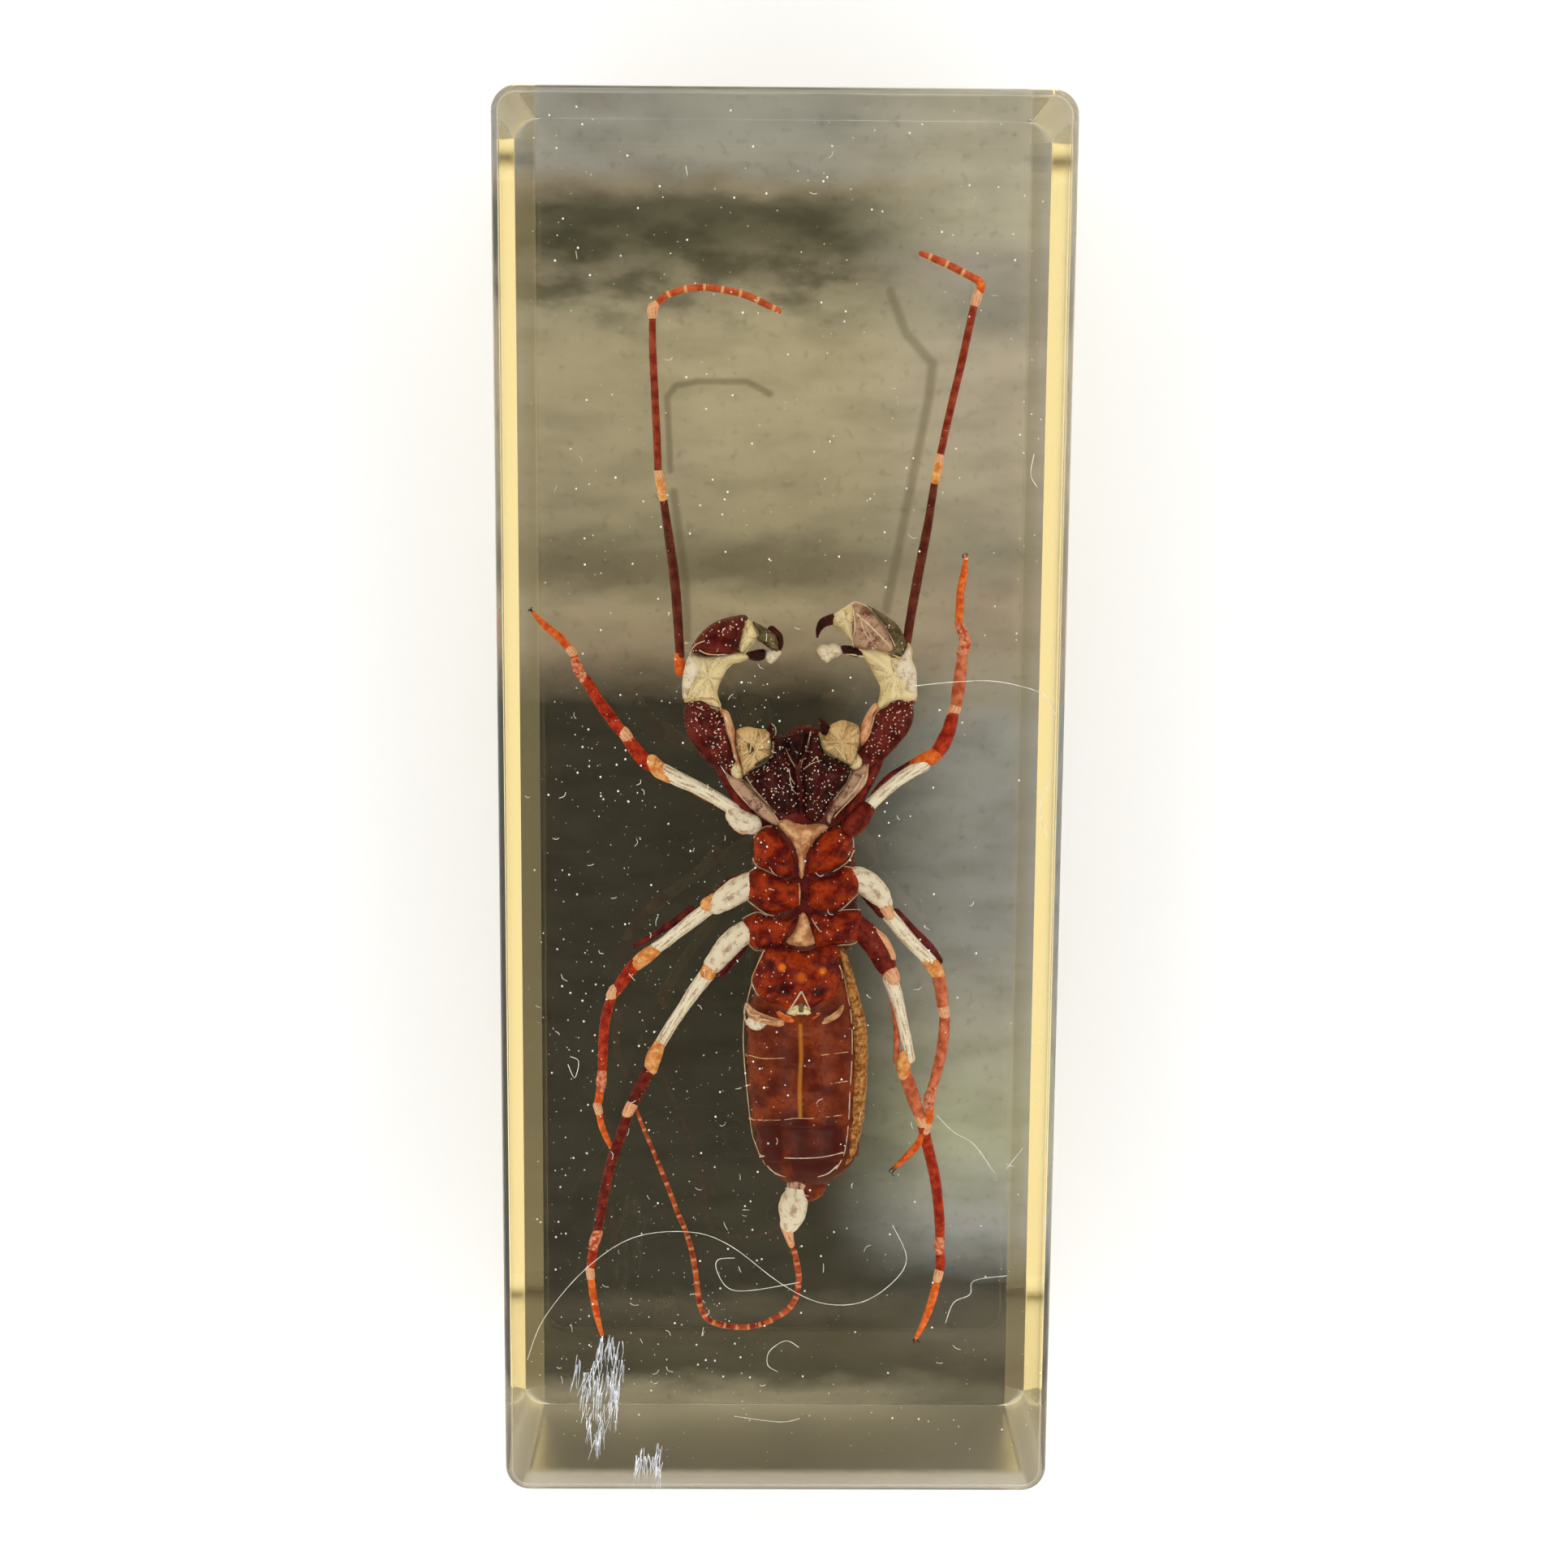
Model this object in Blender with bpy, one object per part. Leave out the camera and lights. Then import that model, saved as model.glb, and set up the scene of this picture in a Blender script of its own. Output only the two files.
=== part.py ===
"""Whip scorpion cast in a clear resin block with a thin dark backing.

The block lies flat with its front face up. +Z is up, +X runs across the block and +Y runs
from the animal's tail to its feelers. The animal lies on its back, so its underside faces +Z.
The origin is at the centre of the backing's underside.

Sizes and places below are in millimetres; meshes are written in metres.
"""
import math

import bmesh
import bpy
from mathutils import Matrix, Vector

MM = 0.001

# Resin block: rounded uprights, a softly rounded front rim and a chamfer along the foot of each long side
BLOCK_WIDTH = 44.5
BLOCK_LENGTH = 112.0
RESIN_THICKNESS = 27.2
CORNER_RADIUS = 2.0
FRONT_RIM_RADIUS = 0.8
CHAMFER_RUN = 1.6
CHAMFER_RISE = 1.35
ROUND_STEPS = 3

# Dark backing under the block: as long as the block, and a little narrower
BACKING_THICKNESS = 1.0
BACKING_SIDE_INSET = 0.2

# Fits
GAP = 0.3
POCKET_CLEARANCE = 0.35

# The level at which the resin is parted, where the legs lie
PARTING_LEVEL = 18.0

# Roundness of the animal's parts
LEG_SIDES = 6
FEELER_SIDES = 6
WHIP_SIDES = 5
ARM_SIDES = 8
ARM_FLATNESS = 0.95
BODY_SIDES = 14

# Edges that turn by more than this stay crisp; the rest of each surface is shaded smooth
SHARP_ANGLE = math.radians(40.0)

# Each station below is (x, y, z, half width), from the body outwards.
FEELER_LEFT = [
    (-0.2, -1.5, 18.8, 0.60), (-4.3, 2.3, 18.2, 0.65), (-6.3, 6.8, 16.8, 0.50), (-7.6, 10.0, 17.0, 0.45),
    (-8.1, 12.6, 17.7, 0.40), (-8.6, 16.6, 17.9, 0.34), (-9.5, 24.4, 18.0, 0.33), (-9.7, 25.8, 18.0, 0.42),
    (-10.0, 30.0, 18.0, 0.30), (-10.4, 37.6, 18.0, 0.29), (-10.3, 39.4, 18.0, 0.36), (-9.7, 40.2, 18.0, 0.30),
    (-8.2, 40.9, 18.0, 0.28), (-6.2, 41.3, 18.0, 0.28), (-4.0, 41.2, 18.0, 0.27), (-2.0, 40.6, 18.0, 0.26),
    (0.0, 39.5, 18.0, 0.18),
]
FEELER_RIGHT = [
    (4.1, -1.5, 18.8, 0.60), (7.4, 2.9, 18.2, 0.65), (9.1, 6.8, 16.8, 0.50), (10.2, 10.2, 17.0, 0.45),
    (10.7, 13.4, 17.8, 0.38), (11.5, 18.4, 17.9, 0.34), (12.6, 25.6, 18.0, 0.33), (12.9, 27.6, 18.0, 0.42),
    (13.6, 30.6, 18.0, 0.30), (14.9, 36.7, 18.0, 0.29), (15.7, 40.6, 18.0, 0.36), (15.6, 42.2, 18.0, 0.32),
    (14.1, 43.0, 18.0, 0.28), (12.3, 43.9, 18.0, 0.27), (10.9, 44.5, 18.0, 0.20),
]
SECOND_LEG_LEFT = [
    (-0.9, -3.2, 18.8, 0.90), (-2.6, -1.8, 18.7, 0.95), (-3.6, -0.9, 18.6, 0.70), (-5.8, 0.5, 18.4, 0.55),
    (-8.5, 1.8, 18.2, 0.58), (-10.1, 2.7, 18.1, 0.66), (-11.3, 3.8, 18.0, 0.50), (-12.5, 5.2, 18.0, 0.52),
    (-13.7, 6.9, 17.9, 0.43), (-15.1, 9.0, 17.9, 0.42), (-16.0, 10.6, 17.9, 0.46), (-17.1, 12.4, 17.9, 0.36),
    (-18.4, 13.7, 17.9, 0.30), (-19.8, 15.2, 17.9, 0.16),
]
SECOND_LEG_RIGHT = [
    (4.9, -3.2, 18.8, 0.90), (6.6, -1.7, 18.7, 0.95), (7.5, -0.5, 18.6, 0.70), (8.9, 0.8, 18.4, 0.55),
    (10.7, 2.4, 18.2, 0.56), (12.2, 3.5, 18.1, 0.66), (13.3, 4.4, 18.0, 0.52), (14.1, 5.8, 18.0, 0.50),
    (14.6, 7.7, 18.0, 0.48), (15.1, 10.5, 17.9, 0.42), (15.4, 12.9, 17.9, 0.44), (14.8, 15.2, 17.9, 0.36),
    (14.9, 17.5, 17.9, 0.30), (15.2, 19.8, 17.9, 0.16),
]
THIRD_LEG_LEFT = [
    (-1.0, -7.3, 18.8, 1.00), (-2.6, -7.5, 18.7, 1.00), (-4.0, -8.1, 18.6, 0.95),
    (-5.4, -8.8, 18.5, 0.85), (-6.4, -9.4, 18.4, 0.56), (-9.8, -11.8, 18.1, 0.52),
    (-11.6, -13.0, 18.0, 0.62), (-12.6, -14.5, 18.0, 0.50), (-13.4, -16.0, 18.0, 0.48),
    (-13.9, -18.6, 17.9, 0.43), (-14.1, -21.4, 17.9, 0.42), (-14.4, -24.1, 17.9, 0.42),
    (-14.6, -25.9, 17.9, 0.36), (-14.2, -27.9, 17.9, 0.28), (-13.2, -29.6, 17.9, 0.16),
]
THIRD_LEG_RIGHT = [
    (5.4, -7.2, 18.8, 1.00), (7.1, -7.2, 18.7, 1.00), (8.2, -8.0, 18.6, 0.95),
    (9.4, -9.1, 18.5, 0.80), (10.7, -10.5, 18.3, 0.60), (12.3, -12.1, 18.1, 0.60),
    (13.5, -13.5, 18.0, 0.66), (13.9, -15.5, 18.0, 0.50), (14.1, -17.6, 18.0, 0.50),
    (14.0, -20.7, 17.9, 0.43), (13.5, -24.1, 17.9, 0.42), (13.1, -26.0, 17.9, 0.42),
    (12.7, -27.3, 17.9, 0.36), (11.4, -29.7, 17.9, 0.30), (9.9, -31.4, 17.9, 0.16),
]
FOURTH_LEG_LEFT = [
    (-0.9, -10.9, 18.8, 1.00), (-2.8, -11.2, 18.7, 1.00), (-4.5, -12.4, 18.5, 0.90),
    (-6.1, -13.9, 18.4, 0.82), (-7.0, -15.4, 18.3, 0.58), (-9.3, -20.0, 18.0, 0.54),
    (-10.2, -21.8, 17.9, 0.62), (-11.1, -24.5, 17.9, 0.50), (-12.1, -26.6, 17.9, 0.48),
    (-13.0, -29.0, 17.8, 0.44), (-13.8, -32.5, 17.8, 0.43), (-14.8, -36.6, 17.8, 0.44),
    (-15.2, -40.1, 17.8, 0.38), (-14.9, -42.3, 17.8, 0.30), (-14.3, -45.4, 17.8, 0.16),
]
FOURTH_LEG_RIGHT = [
    (5.2, -10.7, 18.8, 1.00), (7.2, -10.9, 18.7, 1.00), (8.5, -12.3, 18.5, 0.92),
    (9.8, -14.2, 18.3, 0.86), (10.2, -16.0, 18.2, 0.60), (10.7, -19.8, 18.0, 0.52),
    (11.0, -22.2, 17.9, 0.60), (11.5, -24.9, 17.8, 0.50), (12.1, -26.9, 17.7, 0.46),
    (13.1, -29.7, 17.7, 0.44), (13.6, -33.9, 17.7, 0.43), (14.0, -37.4, 17.7, 0.44),
    (14.1, -39.9, 17.7, 0.38), (13.6, -42.4, 17.7, 0.32), (12.2, -45.9, 17.7, 0.16),
]
ARM_LEFT = [
    (-3.2, 2.8, 18.2, 0.80), (-4.6, 3.9, 18.2, 1.15), (-5.4, 5.4, 18.2, 1.40), (-5.9, 6.9, 18.2, 1.50),
    (-6.3, 8.4, 18.2, 1.35), (-6.3, 9.6, 18.2, 1.45), (-6.1, 10.8, 18.3, 1.50), (-5.7, 11.8, 18.3, 1.50),
    (-5.0, 12.8, 18.3, 1.50), (-4.0, 13.4, 18.3, 1.50), (-2.8, 13.6, 18.3, 1.40), (-1.8, 13.5, 18.3, 1.20),
    (-1.0, 13.3, 18.3, 0.90),
]
ARM_RIGHT = [
    (6.2, 3.2, 18.2, 0.80), (7.5, 4.6, 18.2, 1.20), (8.5, 6.0, 18.2, 1.40), (9.3, 7.4, 18.2, 1.60),
    (9.7, 8.7, 18.2, 1.50), (9.7, 9.9, 18.2, 1.55), (9.5, 11.1, 18.3, 1.70), (8.9, 12.3, 18.3, 1.80),
    (7.8, 13.4, 18.3, 1.80), (6.4, 14.3, 18.3, 1.65), (5.3, 14.6, 18.3, 1.30), (4.5, 14.7, 18.3, 0.90),
]
CLAW_LEFT = [
    (-1.4, 13.9, 18.3, 0.65), (-0.6, 13.9, 18.3, 0.45), (0.0, 13.5, 18.3, 0.30), (0.05, 12.8, 18.3, 0.15),
]
CLAW_RIGHT = [
    (4.8, 14.9, 18.3, 0.65), (4.0, 14.8, 18.3, 0.42), (3.4, 14.3, 18.3, 0.30), (3.2, 13.6, 18.3, 0.15),
]
THUMB_LEFT = [
    (-2.4, 12.9, 18.2, 0.60), (-1.3, 12.3, 18.2, 0.42), (-0.7, 12.1, 18.2, 0.48), (-0.2, 11.9, 18.2, 0.30),
]
THUMB_RIGHT = [
    (6.4, 13.2, 18.2, 0.60), (5.0, 12.7, 18.2, 0.42), (4.2, 12.5, 18.2, 0.60), (3.4, 12.2, 18.2, 0.35),
]
HAIRY_LOBE_LEFT = [
    (-1.4, 2.4, 18.4, 1.20), (-1.8, 4.3, 18.5, 1.60), (-1.9, 5.6, 18.5, 1.30), (-1.9, 6.3, 18.5, 0.70),
]
HAIRY_LOBE_RIGHT = [
    (5.6, 2.9, 18.4, 1.20), (5.4, 4.7, 18.5, 1.60), (5.2, 6.0, 18.5, 1.30), (5.1, 6.7, 18.5, 0.70),
]
SPINE_LEFT = [(-0.8, 5.4, 18.6, 0.35), (-0.4, 6.2, 18.6, 0.22), (-0.1, 6.8, 18.6, 0.08)]
SPINE_RIGHT = [(4.2, 5.8, 18.6, 0.35), (3.8, 6.5, 18.6, 0.22), (3.4, 7.1, 18.6, 0.08)]
CHELICERAE = [(2.1, 2.4, 18.3, 1.10), (2.1, 4.6, 18.4, 1.20), (2.1, 5.9, 18.3, 0.60)]
TAIL_STALK = [
    (2.7, -31.0, 18.0, 1.10), (2.4, -32.0, 18.1, 0.90), (2.3, -33.0, 18.2, 0.85), (2.25, -33.2, 18.2, 1.05),
    (2.15, -33.5, 18.2, 0.90), (1.85, -34.5, 18.2, 1.22), (1.7, -35.4, 18.2, 1.10), (1.5, -36.1, 18.2, 0.55),
    (1.45, -37.2, 18.1, 0.28),
]
WHIP = [
    (1.45, -37.0, 18.1, 0.27), (1.9, -38.5, 18.1, 0.27), (2.2, -40.1, 18.0, 0.27),
    (2.1, -41.5, 18.0, 0.26), (1.5, -42.8, 18.0, 0.26), (0.6, -43.7, 18.0, 0.25),
    (-0.6, -44.3, 18.0, 0.25), (-2.1, -44.6, 18.0, 0.25), (-3.6, -44.6, 18.0, 0.25),
    (-4.9, -44.2, 18.0, 0.24), (-5.8, -43.2, 18.0, 0.24), (-6.3, -41.4, 18.0, 0.23),
    (-6.6, -39.2, 18.0, 0.22), (-7.1, -37.4, 18.0, 0.21), (-8.9, -32.4, 17.9, 0.19),
    (-10.7, -28.0, 17.9, 0.17), (-11.8, -25.9, 17.9, 0.16),
]

# Stations of the body are (x, y, z, half width), from front to back.
CARAPACE = [
    (2.1, 4.4, 17.7, 2.40), (2.1, 2.8, 17.6, 3.60), (2.1, -0.5, 17.5, 4.10), (2.1, -4.5, 17.4, 4.20),
    (2.2, -8.5, 17.4, 4.40), (2.2, -11.0, 17.6, 4.10), (2.2, -12.6, 17.8, 3.00),
]
CARAPACE_FLATNESS = 0.58
ABDOMEN = [
    (2.15, -11.8, 18.0, 2.60), (2.15, -13.0, 18.0, 3.40), (2.1, -15.0, 17.9, 4.05),
    (2.1, -18.0, 17.8, 4.75), (2.35, -22.0, 17.8, 5.05), (2.55, -26.5, 17.8, 4.75),
    (2.65, -29.4, 17.9, 4.20), (2.65, -31.0, 18.0, 3.00), (2.7, -31.9, 18.1, 1.50),
]
ABDOMEN_FLATNESS = 0.62
PLATE_ENDS = (-18.5, -21.1, -23.7, -26.5, -29.6)
LEDGE_RUN = 0.25
LEDGE_DEPTH = 0.16
BORDER_HALF_WIDTH = 0.45

# Underside plates: outlines as (x, y) from above, with the levels of their foot and their crown
ARM_PLATE_LEFT = [(-2.5, 2.4), (-1.2, 0.2), (-0.2, -1.1), (1.0, -1.6), (2.0, -0.9), (1.8, 3.2), (0.8, 5.4),
                  (-0.3, 5.4), (-0.4, 3.7)]
ARM_PLATE_RIGHT = [(2.1, 3.2), (2.2, -1.4), (3.3, -1.7), (4.2, -0.5), (5.6, 1.6), (6.0, 2.5), (3.8, 3.8),
                   (3.4, 5.6), (2.6, 5.8)]
STERNUM = [(-0.1, -1.7), (1.2, -3.8), (1.8, -6.3), (2.5, -6.3), (3.1, -3.8), (4.1, -1.7), (2.1, -1.9)]
COXA_2_LEFT = [(-1.2, -2.5), (-1.9, -3.6), (-1.5, -5.0), (-0.1, -5.9), (1.5, -6.0), (0.8, -4.0),
               (-0.2, -2.3)]
COXA_2_RIGHT = [(5.4, -2.4), (4.3, -2.3), (3.3, -4.0), (2.7, -6.0), (4.1, -5.9), (5.7, -4.9), (6.1, -3.5)]
COXA_3_LEFT = [(-2.5, -6.0), (-2.4, -7.7), (-1.4, -8.7), (2.0, -8.9), (2.0, -6.5), (0.2, -6.2),
               (-1.6, -5.4)]
COXA_3_RIGHT = [(2.3, -6.5), (2.3, -9.1), (5.9, -8.9), (7.0, -7.5), (6.9, -5.8), (5.8, -5.3), (4.5, -6.1)]
COXA_4_LEFT = [(-2.8, -9.4), (-2.5, -11.9), (-0.5, -12.3), (1.2, -12.2), (2.0, -9.2)]
COXA_4_RIGHT = [(2.3, -9.3), (3.1, -12.1), (4.4, -12.1), (6.9, -11.4), (7.1, -9.3)]
REAR_STERNUM = [(2.15, -9.1), (1.2, -12.0), (3.2, -12.0)]
GENITAL_PLATE = [(-1.2, -12.3), (-1.8, -14.5), (-1.2, -15.9), (0.9, -17.4), (2.1, -17.7), (3.4, -17.3),
                 (5.1, -15.9), (5.6, -14.2), (5.0, -12.1)]
PLATES = {
    "arm_plate_left": (ARM_PLATE_LEFT, 17.6, 20.4),
    "arm_plate_right": (ARM_PLATE_RIGHT, 17.6, 20.4),
    "sternum": (STERNUM, 17.6, 20.0),
    "coxa_2_left": (COXA_2_LEFT, 17.6, 20.3),
    "coxa_2_right": (COXA_2_RIGHT, 17.6, 20.3),
    "coxa_3_left": (COXA_3_LEFT, 17.6, 20.4),
    "coxa_3_right": (COXA_3_RIGHT, 17.6, 20.4),
    "coxa_4_left": (COXA_4_LEFT, 17.6, 20.3),
    "coxa_4_right": (COXA_4_RIGHT, 17.6, 20.3),
    "rear_sternum": (REAR_STERNUM, 17.6, 20.6),
    "genital_plate": (GENITAL_PLATE, 18.4, 20.9),
}
CHEST_PLATES = ("sternum", "coxa_2_left", "coxa_2_right", "coxa_3_left", "coxa_3_right", "coxa_4_left",
                "coxa_4_right", "rear_sternum")
PLATE_CROWN = 0.45
PLATE_CROWN_SCALE = 0.72

# A sharp corner of a widened outline moves out by no more than twice the widening
LEAST_MITRE = 1.0

# The pocket follows the chest plates with one outline round them all
CHEST_POCKET = [(-0.6, -1.4), (-2.2, -3.4), (-1.9, -5.0), (-2.8, -5.9), (-2.7, -8.0), (-3.0, -9.2),
                (-2.8, -12.1), (1.2, -12.5), (4.5, -12.4), (7.2, -11.6), (7.3, -9.0), (7.2, -5.6),
                (6.2, -5.0), (6.3, -3.4), (4.9, -1.4)]
CHEST_POCKET_LEVELS = (17.6, 20.6)

# Colours (linear) for plain viewing
RESIN_COLOUR = (0.98, 0.97, 0.90)
SCORPION_COLOUR = (0.16, 0.02, 0.01)
BACKING_COLOUR = (0.03, 0.03, 0.022)


def clear_scene():
    """Remove every object of the open scene."""
    for old in list(bpy.data.objects):
        bpy.data.objects.remove(old, do_unlink=True)


def make_material(name, colour, roughness, transmission=0.0):
    """Principled material with an even colour."""
    material = bpy.data.materials.new(name)
    material.use_nodes = True
    shader = material.node_tree.nodes["Principled BSDF"]
    shader.inputs["Base Color"].default_value = (*colour, 1.0)
    shader.inputs["Roughness"].default_value = roughness
    shader.inputs["Metallic"].default_value = 0.0
    shader.inputs["Transmission Weight"].default_value = transmission
    shader.inputs["IOR"].default_value = 1.5
    return material


def make_object(name, bm, material, collection):
    """Turn a bmesh in millimetres into an object in metres."""
    bmesh.ops.recalc_face_normals(bm, faces=bm.faces)
    bmesh.ops.scale(bm, vec=(MM, MM, MM), verts=bm.verts)
    mesh = bpy.data.meshes.new(name)
    bm.to_mesh(mesh)
    bm.free()
    mesh.shade_smooth()
    mesh.set_sharp_from_angle(angle=SHARP_ANGLE)
    mesh.materials.append(material)
    made = bpy.data.objects.new(name, mesh)
    collection.objects.link(made)
    return made


def slab(width, length, low, high, corner_radius):
    """Flat slab centred on the origin, with rounded uprights."""
    bm = bmesh.new()
    middle = Vector((0.0, 0.0, (low + high) / 2.0))
    size = Matrix.Diagonal((width, length, high - low, 1.0))
    bmesh.ops.create_cube(bm, size=1.0, matrix=Matrix.Translation(middle) @ size)
    uprights = [edge for edge in bm.edges if abs(edge.verts[0].co.z - edge.verts[1].co.z) > GAP]
    bmesh.ops.bevel(bm, geom=uprights, offset=corner_radius, segments=ROUND_STEPS, profile=0.5,
                    affect="EDGES")
    return bm


def front_half(low, high):
    """Half of the block with the front face, whose rim is rounded."""
    bm = slab(BLOCK_WIDTH, BLOCK_LENGTH, low, high, CORNER_RADIUS)
    rim = [edge for edge in bm.edges if all(abs(vert.co.z - high) < GAP for vert in edge.verts)]
    bmesh.ops.bevel(bm, geom=rim, offset=FRONT_RIM_RADIUS, segments=ROUND_STEPS, profile=0.5, affect="EDGES")
    return bm


def back_half(low, high):
    """Half of the block with the foot, which a chamfer narrows along both long sides."""
    bm = slab(BLOCK_WIDTH, BLOCK_LENGTH, low, high, CORNER_RADIUS)
    ankle = (0.0, 0.0, low + CHAMFER_RISE)
    everything = [*bm.verts, *bm.edges, *bm.faces]
    bmesh.ops.bisect_plane(bm, geom=everything, plane_co=ankle, plane_no=(0.0, 0.0, 1.0))
    for vert in bm.verts:
        if abs(vert.co.z - low) < GAP:
            vert.co.x -= math.copysign(CHAMFER_RUN, vert.co.x)
    return bm


def loft(stations, sides, flatness=1.0, grow=0.0):
    """Closed tube through stations, with an elliptical section that is flatness times as high as wide."""
    bm = bmesh.new()
    points = [Vector(station[:3]) for station in stations]
    radii = [station[3] + grow for station in stations]
    points[0] += (points[0] - points[1]).normalized() * grow
    points[-1] += (points[-1] - points[-2]).normalized() * grow
    up = Vector((0.0, 0.0, 1.0))
    rings = []
    for index, point in enumerate(points):
        before = points[max(index - 1, 0)]
        after = points[min(index + 1, len(points) - 1)]
        along = (after - before).normalized()
        across = along.cross(up).normalized()
        lift = across.cross(along)
        width = radii[index]
        height = (width - grow) * flatness + grow
        ring = []
        for side in range(sides):
            angle = math.tau * (side + 0.5) / sides
            offset = across * width * math.cos(angle) + lift * height * math.sin(angle)
            ring.append(bm.verts.new(point + offset))
        rings.append(ring)
    for ring, following in zip(rings, rings[1:]):
        for side in range(sides):
            turn = (side + 1) % sides
            bm.faces.new((ring[side], ring[turn], following[turn], following[side]))
    bm.faces.new(rings[0])
    bm.faces.new(rings[-1])
    return bm


def widened(outline, grow):
    """Outline moved outwards by grow along the bisector of each corner."""
    count = len(outline)
    points = [Vector(point) for point in outline]
    area = sum(points[i].x * points[(i + 1) % count].y - points[(i + 1) % count].x * points[i].y
               for i in range(count))
    turn = 1.0 if area > 0.0 else -1.0
    moved = []
    for index, point in enumerate(points):
        entering = (point - points[index - 1]).normalized()
        leaving = (points[(index + 1) % count] - point).normalized()
        normal_in = Vector((entering.y, -entering.x)) * turn
        normal_out = Vector((leaving.y, -leaving.x)) * turn
        bisector = normal_in + normal_out
        moved.append(point + bisector * (2.0 * grow / max(bisector.length_squared, LEAST_MITRE)))
    return moved


def pillow(outline, foot, crown, grow=0.0):
    """Plate of the given outline with upright sides and a smaller, raised crown."""
    bm = bmesh.new()
    rim = widened(outline, grow)
    centre = sum(rim, Vector((0.0, 0.0))) / len(rim)
    levels = (
        (foot - grow, 1.0),
        (crown - PLATE_CROWN + grow, 1.0),
        (crown + grow, PLATE_CROWN_SCALE),
    )
    rings = []
    for level, scale in levels:
        places = [centre + (point - centre) * scale for point in rim]
        rings.append([bm.verts.new((place.x, place.y, level)) for place in places])
    count = len(rim)
    for ring, following in zip(rings, rings[1:]):
        for side in range(count):
            turn = (side + 1) % count
            bm.faces.new((ring[side], ring[turn], following[turn], following[side]))
    bm.faces.new(rings[0])
    bm.faces.new(rings[-1])
    return bm


def station_at(stations, y):
    """Station at a given y, read straight between its neighbours."""
    for first, second in zip(stations, stations[1:]):
        if second[1] <= y <= first[1]:
            share = (first[1] - y) / (first[1] - second[1])
            return tuple(a + (b - a) * share for a, b in zip(first, second))
    raise ValueError("y is outside the stations")


def abdomen_stations():
    """Abdomen's stations with a small ledge where each plate laps over the next."""
    marks = [(station[1], 0.0) for station in ABDOMEN]
    for end in PLATE_ENDS:
        marks.append((end, 0.0))
        marks.append((end - LEDGE_RUN, LEDGE_DEPTH))
    stepped = []
    for y, depth in sorted(marks, reverse=True):
        x, _, z, half_width = station_at(ABDOMEN, y)
        stepped.append((x, y, z, half_width - depth))
    return stepped


def border_stations(side):
    """Soft border along one side of the abdomen; side is -1 for left and 1 for right."""
    return [(x + side * half_width, y, z, BORDER_HALF_WIDTH) for x, y, z, half_width in ABDOMEN[1:-1]]


def limb_solids(grow):
    """Named meshes of everything but the abdomen and the chest plates, each enlarged by grow."""
    solids = {
        "carapace": loft(CARAPACE, BODY_SIDES, CARAPACE_FLATNESS, grow),
        "chelicerae": loft(CHELICERAE, ARM_SIDES, 1.0, grow),
        "tail_stalk": loft(TAIL_STALK, ARM_SIDES, 1.0, grow),
        "whip": loft(WHIP, WHIP_SIDES, 1.0, grow),
        "feeler_left": loft(FEELER_LEFT, FEELER_SIDES, 1.0, grow),
        "feeler_right": loft(FEELER_RIGHT, FEELER_SIDES, 1.0, grow),
    }
    legs = {
        "second_leg_left": SECOND_LEG_LEFT, "second_leg_right": SECOND_LEG_RIGHT,
        "third_leg_left": THIRD_LEG_LEFT, "third_leg_right": THIRD_LEG_RIGHT,
        "fourth_leg_left": FOURTH_LEG_LEFT, "fourth_leg_right": FOURTH_LEG_RIGHT,
        "claw_left": CLAW_LEFT, "claw_right": CLAW_RIGHT,
        "thumb_left": THUMB_LEFT, "thumb_right": THUMB_RIGHT,
        "spine_left": SPINE_LEFT, "spine_right": SPINE_RIGHT,
    }
    for name, stations in legs.items():
        solids[name] = loft(stations, LEG_SIDES, 1.0, grow)
    arms = {
        "arm_left": ARM_LEFT, "arm_right": ARM_RIGHT,
        "hairy_lobe_left": HAIRY_LOBE_LEFT, "hairy_lobe_right": HAIRY_LOBE_RIGHT,
    }
    for name, stations in arms.items():
        solids[name] = loft(stations, ARM_SIDES, ARM_FLATNESS, grow)
    for name, (outline, foot, crown) in PLATES.items():
        if name not in CHEST_PLATES:
            solids[name] = pillow(outline, foot, crown, grow)
    return solids


def scorpion_solids():
    """Named meshes of all the animal's parts."""
    solids = limb_solids(0.0)
    solids["abdomen"] = loft(abdomen_stations(), BODY_SIDES, ABDOMEN_FLATNESS)
    solids["border_left"] = loft(border_stations(-1.0), LEG_SIDES)
    solids["border_right"] = loft(border_stations(1.0), LEG_SIDES)
    for name in CHEST_PLATES:
        solids[name] = pillow(*PLATES[name])
    return solids


def pocket_solids():
    """Named meshes of the hollow that holds the animal with a small clearance."""
    solids = limb_solids(POCKET_CLEARANCE)
    solids["abdomen"] = loft(ABDOMEN, BODY_SIDES, ABDOMEN_FLATNESS, BORDER_HALF_WIDTH + POCKET_CLEARANCE)
    solids["chest"] = pillow(CHEST_POCKET, *CHEST_POCKET_LEVELS, POCKET_CLEARANCE)
    return solids


def guide_collection(name, solids, material):
    """Collection of guide objects that shape other pieces and aren't pieces themselves."""
    collection = bpy.data.collections.new(name)
    bpy.context.scene.collection.children.link(collection)
    for part_name, bm in solids.items():
        guide = make_object(name + "_" + part_name, bm, material, collection)
        guide.hide_render = True
        guide.display_type = "WIRE"
    return collection


def add_boolean(target, operation, collection):
    """Exact boolean of an object with every object of a collection."""
    modifier = target.modifiers.new(operation.lower(), "BOOLEAN")
    modifier.operation = operation
    modifier.solver = "EXACT"
    modifier.operand_type = "COLLECTION"
    modifier.collection = collection


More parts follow.
